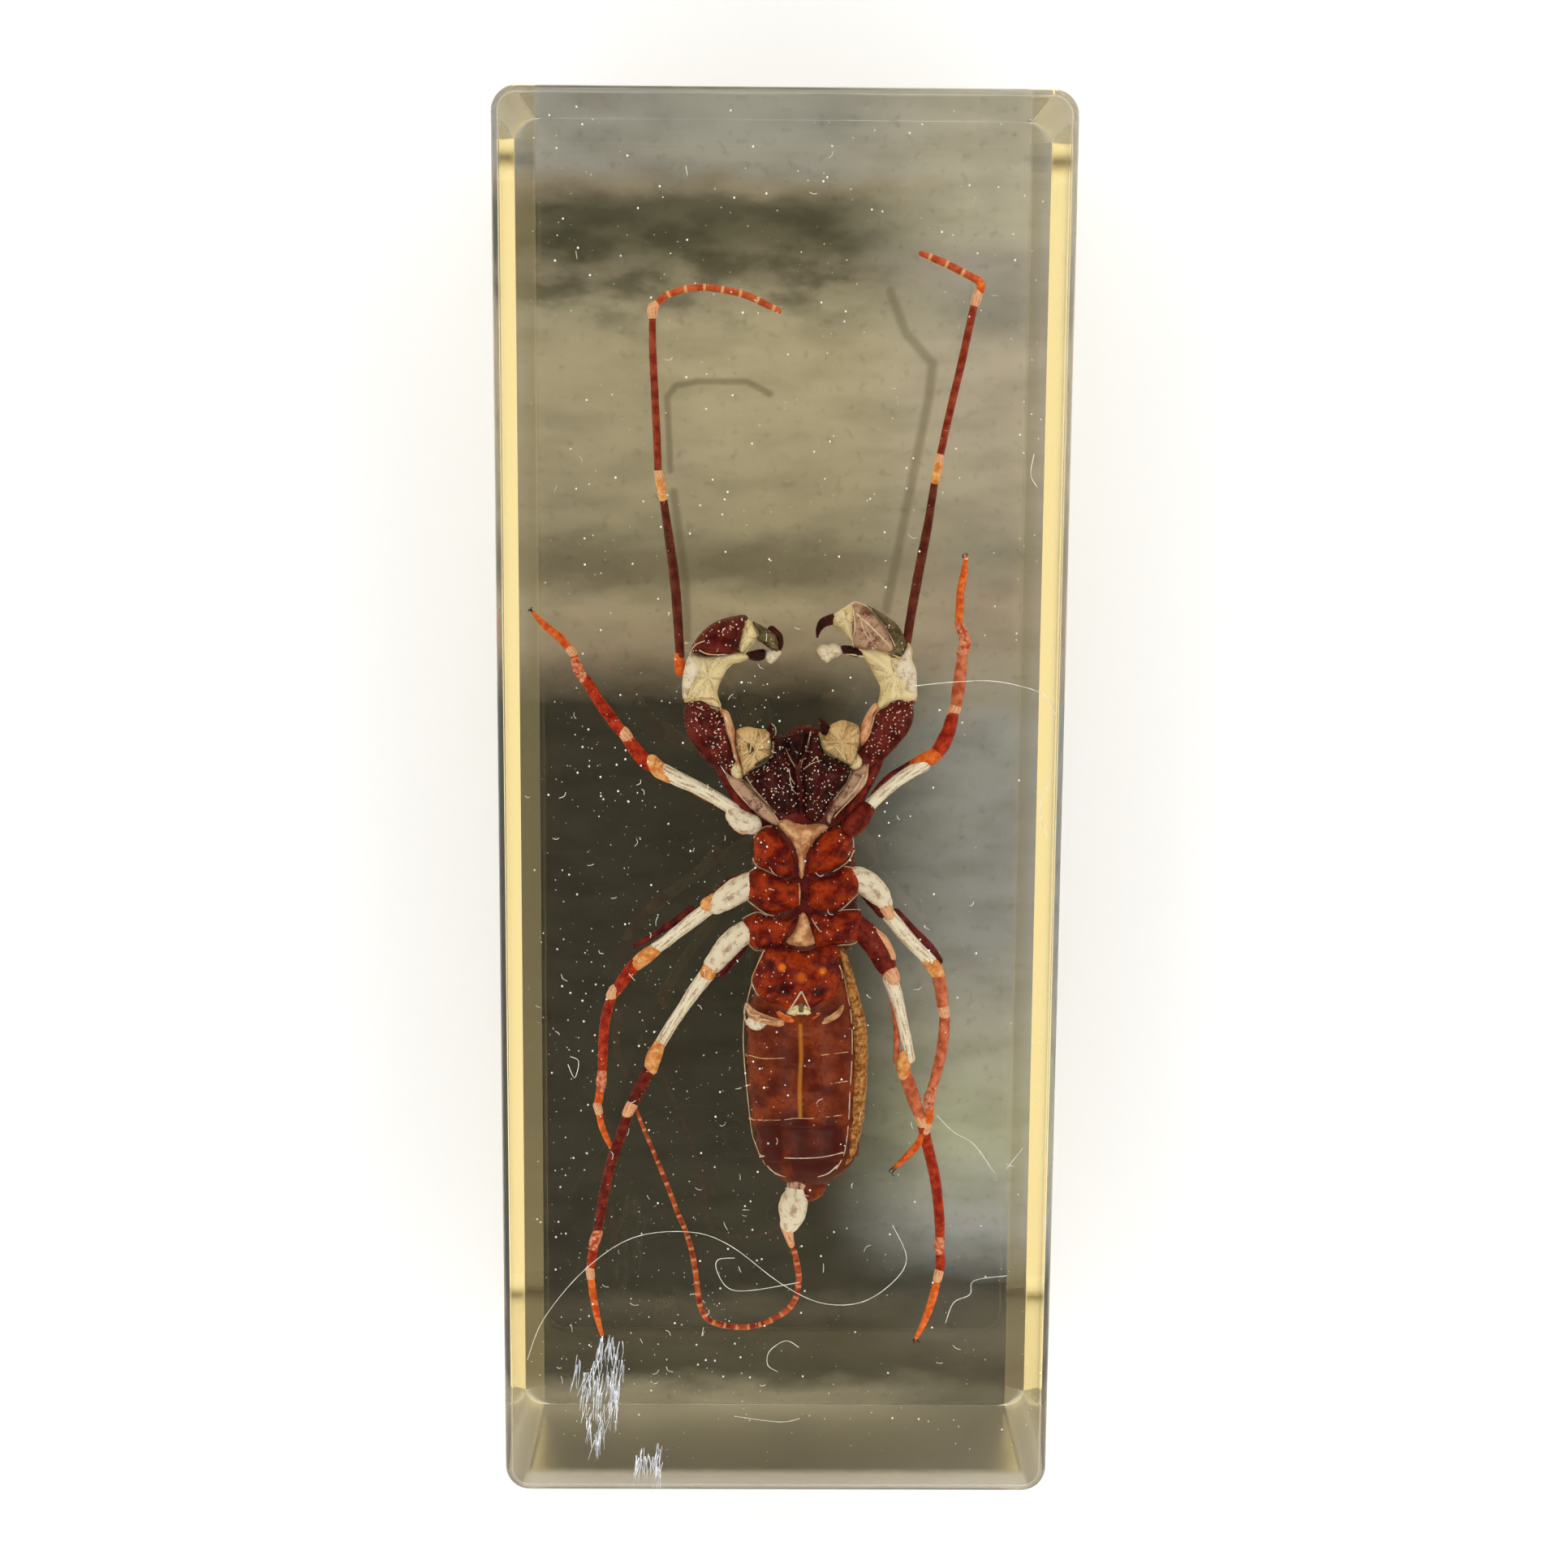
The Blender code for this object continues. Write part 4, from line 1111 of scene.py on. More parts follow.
LEG_2_RIGHT = Limb("leg_2_right", (
    part(Skin.WINE, 19.0, 18.8, (1048, 1020, 0.85), (1060, 1007, 0.95), (1067, 998, 0.72)),
    part(Skin.BONE, 18.7, 18.3, (1066, 998, 0.50), (1082, 982, 0.52), (1104, 963, 0.52), (1124, 950, 0.56),
        (1138, 942, 0.60)),
    part(Skin.MAROON, 18.2, 18.0, (1072, 986, 0.25), (1092, 962, 0.35), (1118, 944, 0.30), (1132, 936, 0.28)),
    part(Skin.EMBER, 18.2, 18.2, (1127, 944, 0.55), (1141, 936, 0.66), (1152, 930, 0.60)),
    part(Skin.SCARLET, 18.1, 18.05, (1151, 932, 0.54), (1161, 918, 0.62), (1169, 900, 0.58),
        (1174, 882, 0.48)),
    part(Skin.CREAM, 18.05, 18.0, (1171, 880, 0.30), (1176, 874, 0.52), (1179, 868, 0.40)),
    part(Skin.BRICK, 18.0, 17.9, (1178, 870, 0.46), (1181, 850, 0.52), (1184, 826, 0.48), (1186, 803, 0.40)),
    part(Skin.JOINT, 17.95, 17.95, (1185, 805, 0.44), (1189, 794, 0.50), (1187, 782, 0.42),
        (1181, 769, 0.34)),
    part(Skin.EMBER, 17.9, 17.9, (1181, 772, 0.32), (1182, 755, 0.33), (1184, 727, 0.32), (1188, 705, 0.28),
        (1190, 687, 0.17))),
    claws=(((1190, 689), (1192, 683), (1189, 682)), ((1189, 690), (1186, 685), (1188, 682))))

LEG_3_LEFT = Limb("leg_3_left", (
    part(Skin.SILVER, 18.9, 18.6, (924, 1090, 1.05), (908, 1098, 1.10), (894, 1107, 1.00), (883, 1115, 0.80)),
    part(Skin.MAROON, 18.3, 18.2, (918, 1082, 0.50), (902, 1090, 0.62), (886, 1101, 0.50)),
    part(Skin.AMBER, 18.5, 18.5, (881, 1110, 0.66), (873, 1115, 0.70)),
    part(Skin.BONE, 18.4, 18.1, (872, 1120, 0.56), (856, 1132, 0.58), (838, 1146, 0.54), (820, 1160, 0.50),
        (807, 1169, 0.52)),
    part(Skin.MAROON, 18.0, 17.8, (852, 1119, 0.24), (829, 1137, 0.30), (804, 1153, 0.28), (782, 1165, 0.24)),
    part(Skin.AMBER, 18.1, 18.0, (808, 1169, 0.54), (795, 1179, 0.64), (784, 1188, 0.56)),
    part(Skin.SCARLET, 18.0, 18.0, (783, 1187, 0.50), (774, 1199, 0.54), (765, 1212, 0.50),
        (758, 1223, 0.40)),
    ring(18.0, (758, 1219, 0.46), (753, 1227, 0.44)),
    part(Skin.SCARLET, 17.95, 17.9, (754, 1228, 0.38), (748, 1247, 0.42), (744, 1272, 0.42),
        (743, 1300, 0.41), (742, 1322, 0.36)),
    part(Skin.JOINT, 17.95, 17.95, (742, 1321, 0.38), (741, 1333, 0.44), (740, 1342, 0.34)),
    part(Skin.EMBER, 17.9, 17.9, (740, 1340, 0.32), (738, 1354, 0.35), (736, 1364, 0.30)),
    ring(17.95, (736, 1362, 0.36), (738, 1370, 0.34)),
    part(Skin.EMBER, 17.9, 17.8, (738, 1368, 0.27), (741, 1386, 0.28), (748, 1403, 0.26), (757, 1420, 0.17))),
    claws=(((756, 1418), (761, 1423), (758, 1426)), ((756, 1418), (763, 1420), (764, 1424))))

LEG_3_RIGHT = Limb("leg_3_right", (
    part(Skin.SILVER, 18.9, 18.6, (1057, 1082, 1.00), (1070, 1090, 1.05), (1082, 1102, 0.95),
        (1089, 1112, 0.75)),
    part(Skin.MAROON, 18.5, 18.4, (1066, 1096, 0.60), (1078, 1110, 0.66), (1089, 1123, 0.60)),
    ring(18.8, (1084, 1112, 0.30), (1091, 1118, 0.55), (1096, 1128, 0.42)),
    part(Skin.BONE, 18.4, 18.1, (1094, 1126, 0.58), (1110, 1146, 0.60), (1128, 1166, 0.56),
        (1146, 1184, 0.56)),
    part(Skin.MAROON, 18.0, 17.8, (1104, 1124, 0.34), (1124, 1146, 0.40), (1146, 1168, 0.38),
        (1157, 1184, 0.34)),
    part(Skin.AMBER, 18.1, 18.0, (1143, 1182, 0.56), (1150, 1191, 0.64), (1156, 1200, 0.56)),
    part(Skin.BRICK, 18.0, 18.0, (1155, 1198, 0.52), (1159, 1216, 0.54), (1161, 1232, 0.50),
        (1162, 1244, 0.44)),
    ring(18.0, (1162, 1242, 0.48), (1164, 1250, 0.46)),
    part(Skin.BRICK, 17.95, 17.9, (1164, 1250, 0.42), (1163, 1272, 0.46), (1160, 1296, 0.45),
        (1154, 1322, 0.43), (1148, 1342, 0.38)),
    part(Skin.JOINT, 17.95, 17.95, (1149, 1341, 0.40), (1145, 1354, 0.46), (1145, 1365, 0.36)),
    part(Skin.EMBER, 17.9, 17.9, (1146, 1364, 0.34), (1145, 1377, 0.36), (1142, 1389, 0.31)),
    ring(17.95, (1143, 1387, 0.36), (1140, 1395, 0.34)),
    part(Skin.EMBER, 17.9, 17.8, (1140, 1394, 0.32), (1129, 1412, 0.32), (1115, 1427, 0.28),
        (1102, 1439, 0.17))),
    claws=(((1104, 1437), (1096, 1442), (1097, 1446)), ((1105, 1438), (1099, 1446), (1102, 1449))))

LEG_4_LEFT = Limb("leg_4_left", (
    part(Skin.SILVER, 18.9, 18.5, (919, 1148, 0.95), (905, 1158, 1.02), (892, 1172, 0.98), (879, 1188, 0.82)),
    part(Skin.MAROON, 18.4, 18.3, (914, 1164, 0.55), (901, 1180, 0.60), (888, 1198, 0.45)),
    part(Skin.AMBER, 18.6, 18.6, (878, 1188, 0.64), (872, 1199, 0.66)),
    part(Skin.BONE, 18.4, 18.0, (871, 1201, 0.64), (858, 1218, 0.60), (843, 1240, 0.50), (828, 1262, 0.47),
        (811, 1290, 0.48)),
    part(Skin.AMBER, 18.1, 18.0, (812, 1288, 0.50), (806, 1302, 0.64), (802, 1317, 0.56)),
    part(Skin.WINE, 18.0, 17.9, (802, 1315, 0.52), (792, 1334, 0.55), (784, 1350, 0.52), (778, 1364, 0.44)),
    ring(17.95, (779, 1361, 0.48), (773, 1372, 0.46)),
    part(Skin.WINE, 17.9, 17.8, (774, 1372, 0.42), (765, 1398, 0.45), (754, 1430, 0.44), (746, 1462, 0.43),
        (741, 1492, 0.43), (736, 1520, 0.38)),
    part(Skin.JOINT, 17.85, 17.85, (737, 1518, 0.40), (733, 1528, 0.46), (731, 1537, 0.38)),
    part(Skin.SCARLET, 17.8, 17.8, (732, 1535, 0.36), (729, 1552, 0.40), (727, 1566, 0.34)),
    ring(17.85, (727, 1564, 0.38), (728, 1573, 0.36)),
    part(Skin.EMBER, 17.8, 17.8, (728, 1572, 0.30), (731, 1597, 0.31), (736, 1624, 0.26), (742, 1645, 0.17))),
    claws=(((741, 1644), (743, 1651), (740, 1653)), ((742, 1643), (747, 1648), (746, 1652))),
    claw_level=17.8)

LEG_4_RIGHT = Limb("leg_4_right", (
    part(Skin.WINE, 18.9, 18.5, (1058, 1142, 0.95), (1071, 1155, 1.02), (1083, 1172, 0.98),
        (1092, 1190, 0.86)),
    part(Skin.CREAM, 19.0, 18.8, (1074, 1146, 0.40), (1088, 1160, 0.48), (1098, 1178, 0.40)),
    ring(18.7, (1089, 1192, 0.40), (1096, 1197, 0.66), (1101, 1206, 0.55)),
    part(Skin.BONE, 18.3, 18.0, (1097, 1206, 0.64), (1105, 1230, 0.56), (1111, 1256, 0.48),
        (1117, 1284, 0.46), (1121, 1304, 0.44)),
    part(Skin.BRICK, 18.1, 17.9, (1098, 1226, 0.22), (1104, 1256, 0.26), (1105, 1284, 0.26),
        (1104, 1308, 0.22)),
    part(Skin.AMBER, 18.0, 18.0, (1115, 1300, 0.52), (1113, 1311, 0.62), (1114, 1324, 0.54)),
    part(Skin.BRICK, 17.9, 17.9, (1115, 1322, 0.52), (1122, 1342, 0.58), (1128, 1360, 0.54),
        (1134, 1376, 0.46)),
    ring(17.85, (1133, 1375, 0.50), (1137, 1385, 0.48)),
    part(Skin.SCARLET, 17.8, 17.7, (1136, 1384, 0.44), (1143, 1412, 0.46), (1151, 1446, 0.45),
        (1156, 1482, 0.43), (1158, 1510, 0.42), (1158, 1526, 0.38)),
    part(Skin.JOINT, 17.75, 17.75, (1158, 1526, 0.40), (1157, 1535, 0.44), (1158, 1543, 0.38)),
    part(Skin.SCARLET, 17.7, 17.7, (1158, 1541, 0.38), (1159, 1556, 0.41), (1157, 1569, 0.36)),
    ring(17.75, (1157, 1567, 0.40), (1155, 1576, 0.38)),
    part(Skin.EMBER, 17.7, 17.7, (1155, 1575, 0.32), (1149, 1600, 0.34), (1139, 1628, 0.29),
        (1129, 1648, 0.18))),
    claws=(((1130, 1646), (1125, 1652), (1128, 1655)), ((1130, 1646), (1131, 1653), (1134, 1653))),
    claw_level=17.7)

FEELER_LEFT = Limb("feeler_left", (
    part(Skin.WINE, 18.6, 17.0, (929, 1012, 0.50), (905, 975, 0.55), (880, 925, 0.50), (862, 870, 0.45),
        (846, 826, 0.42)),
    part(Skin.EMBER, 17.4, 17.7, (838, 827, 0.42), (837, 815, 0.44), (837, 806, 0.36)),
    part(Skin.FEELER_BROWN, 17.7, 17.95, (838, 808, 0.36), (835, 760, 0.39), (831, 712, 0.40),
        (824, 660, 0.36), (817, 612, 0.31)),
    part(Skin.AMBER, 18.0, 18.0, (817, 614, 0.34), (814, 598, 0.40), (812, 588, 0.34)),
    ring(18.0, (813, 588, 0.36), (811, 582, 0.34)),
    part(Skin.FEELER_RED, 18.0, 18.0, (811, 584, 0.30), (809, 530, 0.31), (806, 470, 0.30), (804, 420, 0.29),
        (804, 389, 0.27)),
    ring(18.0, (804, 389, 0.36), (804, 381, 0.44), (808, 375, 0.34)),
    part(Skin.FEELER_TIP, 18.0, 18.0, (807, 377, 0.28), (821, 364, 0.29), (845, 356, 0.29), (868, 354, 0.28),
        (892, 357, 0.29), (918, 363, 0.29), (942, 374, 0.28), (960, 383, 0.22))),
    hairs=14)

FEELER_RIGHT = Limb("feeler_right", (
    part(Skin.WINE, 18.6, 17.0, (1042, 1012, 0.50), (1062, 975, 0.55), (1086, 925, 0.50), (1103, 865, 0.45),
        (1112, 815, 0.42)),
    part(Skin.FEELER_BROWN, 17.5, 17.95, (1116, 800, 0.36), (1123, 755, 0.38), (1132, 705, 0.39),
        (1143, 648, 0.36), (1152, 592, 0.30)),
    part(Skin.AMBER, 18.0, 18.0, (1152, 593, 0.34), (1156, 576, 0.38), (1157, 568, 0.34)),
    ring(18.0, (1157, 569, 0.36), (1158, 562, 0.34)),
    part(Skin.FEELER_RED, 18.0, 18.0, (1158, 563, 0.30), (1171, 505, 0.31), (1184, 450, 0.31),
        (1195, 400, 0.31), (1201, 373, 0.29)),
    ring(18.0, (1201, 374, 0.36), (1204, 366, 0.40), (1206, 360, 0.34)),
    part(Skin.EMBER, 18.0, 18.0, (1206, 361, 0.32), (1209, 353, 0.34), (1205, 345, 0.32)),
    part(Skin.FEELER_TIP, 18.0, 18.0, (1206, 346, 0.30), (1191, 338, 0.31), (1172, 328, 0.30),
        (1152, 319, 0.29), (1135, 312, 0.22))),
    hairs=14)

LIMBS = (FEELER_LEFT, FEELER_RIGHT, LEG_2_LEFT, LEG_2_RIGHT, LEG_3_LEFT, LEG_3_RIGHT, LEG_4_LEFT, LEG_4_RIGHT)


@dataclass(frozen=True)
class Shell:
    """One domed part of a pincer arm or of the chest: its edge, levels, finish, ribs and pale pinpoints."""

    skin: Skin
    outline: tuple[Pixel, ...]
    level: float
    crown: float
    depth: float
    round_off: float = 0.9
    creases: tuple[Crease, ...] = ()
    pinpoints: int = 0

    def carve(self, carving: Carving) -> None:
        """Adds the part to its piece."""
        carving.plate(self.outline, self.level, self.crown, self.depth, self.skin.value, self.round_off,
                      self.creases)

    def scatter(self, carving: Carving, ground: BVHTree, seed: int) -> None:
        """Sets pale pinpoints on the part.

        Args:
            carving: the piece.
            ground: its surface.
            seed: start of the scatter.
        """
        dice = random.Random(seed)
        corners = np.array(self.outline, float)
        low, high = corners.min(0), corners.max(0)
        spots = np.array([(dice.uniform(low[0], high[0]), dice.uniform(low[1], high[1]))
                          for _ in range(self.pinpoints * 3)]).reshape(-1, 2)
        for spot in spots[inside(spots, corners)][:self.pinpoints]:
            radius = dice.choice((0.045, 0.06, 0.06, 0.085))
            carving.bead(landing(ground, tuple(spot), 0.01), radius, Skin.PINPOINT.value, 0.6)


@dataclass(frozen=True)
class Ribs:
    """Thin raised lines of one finish laid on a piece."""

    skin: Skin
    half: float
    lines: Lines

    def lay(self, carving: Carving, ground: BVHTree) -> None:
        """Lays the lines on the piece.

        Args:
            carving: the piece.
            ground: its surface.
        """
        for line in self.lines:
            points = [landing(ground, pixel, self.half * 0.35) for pixel in smooth_path(line, 4)]
            levels = [np.mean([p.z for p in points[max(k - 1, 0):k + 2]]) for k in range(len(points))]
            eased = [Vector((p.x, p.y, z)) for p, z in zip(points, levels)]
            carving.strand(eased, self.half, self.skin.value, steps=2, sides=6, taper=0.7)


@dataclass(frozen=True)
class ShellGroup:
    """A piece made of several domed parts, with ribs laid on them and solid parts between them."""

    name: str
    shells: tuple[Shell, ...]
    ribs: tuple[Ribs, ...] = ()
    tubes: tuple[Tube, ...] = ()
    seed: int = 11

    def build(self) -> bpy.types.Object:
        """Makes the piece.

        Returns:
            The piece.
        """
        carving = Carving(self.name)
        for tube in self.tubes:
            carving.tube(tube)
        for shell in self.shells:
            shell.carve(carving)
        ground = carving.ground()
        for number, shell in enumerate(self.shells):
            shell.scatter(carving, ground, self.seed + number)
        for ribs in self.ribs:
            ribs.lay(carving, ground)
        return carving.make(CHITIN_SLOT, ANIMAL_NODE)


PINCER_LEFT = ShellGroup("pincer_arm_left", (
    Shell(Skin.MAROON, ((844, 865), (863, 868), (888, 876), (895, 887), (897, 905), (907, 935), (913, 951),
        (898, 950), (888, 940), (873, 924), (860, 905), (850, 884)), 18.3, 1.3, 1.2,
        creases=(Crease(((870, 880), (880, 900), (892, 925)), 0.12, 0.5), ), pinpoints=90),
    Shell(Skin.CREAM, ((888, 875), (897, 877), (902, 889), (906, 903), (907, 917), (910, 933), (914, 950),
        (907, 948), (900, 919), (894, 905), (890, 889)), 18.4, 0.9, 0.7, 0.4),
    Shell(Skin.PLEATED, ((847, 810), (857, 806), (869, 808), (888, 804), (909, 802), (925, 809), (912, 817),
        (899, 820), (893, 831), (887, 842), (884, 856), (888, 873), (863, 868), (843, 864), (841, 849),
        (843, 828)), 18.3, 1.25, 1.2, creases=(Crease(((912, 808), (880, 818), (862, 842), (856, 862)), 0.2,
        0.22), Crease(((900, 814), (880, 830), (876, 850)), -0.16, 0.2), Crease(((866, 812), (860, 828),
        (852, 846)), -0.18, 0.2))),
    Shell(Skin.SILVER, ((848, 809), (856, 810), (864, 818), (863, 830), (856, 846), (849, 860), (842, 860),
        (840, 849), (842, 828)), 18.5, 1.3, 0.8, 0.7, creases=(Crease(((850, 815), (853, 830), (848, 850)),
        -0.12, 0.2), )),
    Shell(Skin.MAROON, ((850, 804), (856, 790), (869, 775), (885, 765), (902, 760), (918, 758), (922, 766),
        (916, 778), (912, 797), (909, 805), (891, 810), (874, 810), (860, 806)), 18.4, 1.4, 1.3,
        creases=(Crease(((858, 797), (880, 776), (912, 764)), 0.14, 0.35), ), pinpoints=40),
    Shell(Skin.PLEATED, ((917, 762), (925, 765), (929, 771), (935, 784), (922, 799), (915, 805), (909, 800),
        (911, 786), (914, 775)), 18.4, 1.3, 1.1, 0.7, creases=(Crease(((921, 766), (924, 780), (917, 800)),
        -0.15, 0.18), Crease(((930, 776), (925, 788), (916, 800)), 0.12, 0.15))),
    Shell(Skin.OLIVE, ((927, 766), (942, 773), (958, 783), (957, 789), (960, 800), (957, 804), (949, 800),
        (935, 790), (930, 786), (934, 779)), 18.5, 0.9, 0.9, 0.6, creases=(Crease(((932, 770), (945, 781),
        (956, 790)), 0.12, 0.2), ), pinpoints=6),
    Shell(Skin.BLACK_MAROON, ((918, 806), (930, 801), (942, 800), (944, 808), (939, 814), (926, 814)), 18.3,
        0.6, 0.6, 0.4),
    Shell(Skin.SILVER, ((942, 806), (949, 799), (960, 801), (962, 807), (951, 818), (944, 814)), 18.3, 0.6,
        0.6, 0.5)), (
    Ribs(Skin.RIB, 0.10, (((844, 864), (863, 867), (888, 876)), ((863, 860), (881, 862), (888, 874)),
        ((888, 876), (897, 890), (901, 910), (906, 935)))),
    Ribs(Skin.WHITE_RIB, 0.06, (((850, 806), (857, 795), (868, 790)), ((862, 801), (874, 806), (895, 806)),
        ((864, 818), (862, 832), (852, 852)), ((911, 811), (893, 826), (882, 848)), ((929, 772), (935, 782),
        (922, 799), (913, 812)), ((870, 820), (884, 812), (905, 808)), ((866, 828), (874, 838),
        (883, 850))))), (
    part(Skin.MAROON, 18.2, 18.2, (906, 955, 0.8), (893, 937, 1.1), (876, 915, 1.3), (864, 890, 1.4),
        (861, 868, 1.2)),
    part(Skin.BLACK_MAROON, 18.3, 18.2, (951, 776, 0.35), (960, 784, 0.28), (962, 795, 0.2),
        (960, 802, 0.09))))

PINCER_RIGHT = ShellGroup("pincer_arm_right", (
    Shell(Skin.MAROON, ((1128, 862), (1123, 882), (1112, 897), (1103, 911), (1088, 926), (1072, 941),
        (1064, 932), (1062, 919), (1074, 898), (1076, 882), (1083, 874), (1099, 866), (1116, 862)), 18.3,
        1.3, 1.2, creases=(Crease(((1106, 876), (1095, 895), (1075, 922)), 0.12, 0.5), ), pinpoints=90),
    Shell(Skin.CREAM, ((1075, 869), (1081, 867), (1084, 873), (1077, 881), (1076, 893), (1073, 905),
        (1066, 917), (1058, 914), (1060, 898), (1066, 883)), 18.4, 0.9, 0.7, 0.4),
    Shell(Skin.PLEATED, ((1119, 792), (1125, 803), (1124, 813), (1129, 825), (1130, 842), (1128, 864),
        (1100, 867), (1081, 875), (1085, 851), (1081, 839), (1064, 809), (1058, 799), (1079, 799),
        (1095, 803), (1109, 807)), 18.3, 1.25, 1.2, creases=(Crease(((1070, 806), (1092, 822), (1100, 845),
        (1098, 862)), 0.2, 0.22), Crease(((1080, 806), (1104, 822), (1112, 850)), -0.18, 0.2),
        Crease(((1085, 840), (1092, 855), (1088, 868)), -0.12, 0.16))),
    Shell(Skin.SILVER, ((1109, 809), (1119, 795), (1124, 803), (1123, 813), (1129, 825), (1130, 842),
        (1128, 856), (1112, 855), (1109, 839), (1098, 823), (1099, 814)), 18.5, 1.3, 0.8, 0.7,
        creases=(Crease(((1110, 815), (1117, 832), (1118, 852)), -0.12, 0.2), )),
    Shell(Skin.OLIVE, ((1068, 746), (1089, 757), (1106, 770), (1115, 786), (1117, 796), (1110, 810),
        (1095, 814), (1090, 800), (1096, 790), (1088, 770), (1078, 757)), 18.2, 1.2, 1.2, 0.6, pinpoints=14),
    Shell(Skin.MAUVE, ((1051, 744), (1061, 745), (1072, 751), (1093, 775), (1103, 795), (1100, 804),
        (1095, 805), (1079, 802), (1058, 801), (1051, 793), (1050, 772)), 18.4, 1.4, 1.2,
        creases=(Crease(((1058, 752), (1075, 772), (1098, 800)), 0.16, 0.3), Crease(((1056, 768),
        (1072, 790), (1090, 800)), -0.12, 0.2), )),
    Shell(Skin.PLEATED, ((1025, 764), (1030, 756), (1050, 743), (1054, 752), (1053, 772), (1051, 792),
        (1036, 774), (1027, 771)), 18.4, 1.0, 1.0, 0.7, creases=(Crease(((1030, 762), (1042, 768),
        (1050, 786)), 0.14, 0.18), Crease(((1036, 758), (1047, 764), (1052, 780)), -0.12, 0.14))),
    Shell(Skin.SILVER, ((1006, 799), (1012, 794), (1020, 795), (1027, 793), (1036, 797), (1039, 803),
        (1033, 809), (1026, 812), (1018, 817), (1008, 806)), 18.3, 0.75, 0.7, 0.5,
        creases=(Crease(((1010, 800), (1022, 803), (1034, 802)), 0.12, 0.14), )),
    Shell(Skin.BLACK_MAROON, ((1036, 796), (1050, 796), (1064, 804), (1058, 810), (1044, 807), (1037, 804)),
        18.3, 0.55, 0.55, 0.4)), (
    Ribs(Skin.RIB, 0.10, (((1128, 862), (1100, 866), (1081, 875)), ((1083, 874), (1075, 890), (1070, 906),
        (1062, 918)), ((1060, 800), (1080, 801), (1096, 805), (1112, 812)))),
    Ribs(Skin.WHITE_RIB, 0.08, (((1029, 758), (1050, 745), (1056, 743), (1072, 751), (1093, 776),
        (1103, 796)), ((1051, 750), (1054, 772), (1051, 789), (1052, 798)), ((1056, 756), (1075, 774),
        (1097, 797)), ((1064, 809), (1050, 806), (1042, 806)), ((1071, 814), (1090, 830), (1086, 850)),
        ((1099, 815), (1108, 836), (1111, 854)))),
    Ribs(Skin.WHITE_RIB, 0.045, (((1008, 799), (1022, 799), (1036, 799)), ((1012, 812), (1022, 805),
        (1034, 808)), ((1060, 760), (1066, 780), (1080, 798)), ((1032, 760), (1044, 764), (1050, 772))))), (
    part(Skin.MAROON, 18.2, 18.2, (1060, 943, 0.8), (1076, 925, 1.1), (1092, 905, 1.3), (1104, 886, 1.4),
        (1108, 868, 1.2)),
    part(Skin.BLACK_MAROON, 18.4, 18.2, (1026, 763, 0.45), (1015, 767, 0.40), (1009, 775, 0.26),
        (1007, 785, 0.09))))


LOBES = ShellGroup("hairy_lobes", (
    Shell(Skin.GOLDEN, ((907, 901), (920, 896), (932, 898), (947, 900), (951, 909), (951, 922), (951, 933),
        (939, 942), (925, 951), (916, 956), (912, 939), (907, 919)), 18.6, 1.2, 1.2, 0.8,
        creases=(Crease(((921, 908), (929, 926), (922, 945)), -0.25, 0.3), Crease(((916, 906), (932, 922),
        (950, 930)), 0.22, 0.2))),
    Shell(Skin.GOLDEN, ((1021, 896), (1031, 890), (1041, 888), (1058, 895), (1061, 908), (1057, 928),
        (1052, 942), (1041, 942), (1026, 933), (1014, 926), (1009, 915), (1009, 901), (1016, 907)), 18.6,
        1.2, 1.2, 0.8, creases=(Crease(((1030, 895), (1036, 915), (1044, 938)), 0.2, 0.2),
        Crease(((1046, 893), (1044, 915), (1048, 938)), -0.2, 0.22), Crease(((1016, 912), (1026, 922),
        (1036, 938)), -0.15, 0.2))),
    Shell(Skin.OLIVE, ((921, 906), (933, 921), (927, 927), (919, 936), (917, 920)), 19.6, 0.15, 0.2, 0.4),
    Shell(Skin.OLIVE, ((932, 925), (951, 931), (949, 935), (931, 944), (927, 938)), 19.5, 0.15, 0.2, 0.4),
    Shell(Skin.PLEATED, ((901, 942), (908, 938), (914, 947), (915, 959), (905, 960), (899, 952)), 18.7, 1.0,
        0.9, 0.6),
    Shell(Skin.PLEATED, ((1049, 938), (1056, 929), (1063, 936), (1062, 946), (1052, 950), (1046, 945)), 18.7,
        1.0, 0.9, 0.6)), (
    Ribs(Skin.WHITE_RIB, 0.06, (((925, 950), (940, 941), (951, 932)), ((921, 941), (930, 930), (934, 922)),
        ((920, 905), (925, 916), (924, 927)), ((1014, 926), (1027, 934), (1040, 942)), ((1028, 918),
        (1036, 928), (1042, 936)), ((908, 921), (916, 912), (926, 905)))),
    Ribs(Skin.RIB, 0.05, (((1032, 892), (1036, 912), (1042, 934)), ((1040, 891), (1041, 912), (1046, 936)),
        ((1049, 893), (1048, 914), (1049, 934)), ((1056, 899), (1053, 916), (1051, 936)), ((912, 902),
        (914, 920), (916, 944)), ((936, 900), (940, 915), (944, 932))))), (
    part(Skin.BLACK_MAROON, 18.8, 18.6, (948, 909, 0.42), (948, 900, 0.30), (950, 893, 0.10)),
    part(Skin.BLACK_MAROON, 18.8, 18.6, (1019, 900, 0.42), (1014, 892, 0.28), (1010, 886, 0.10))))

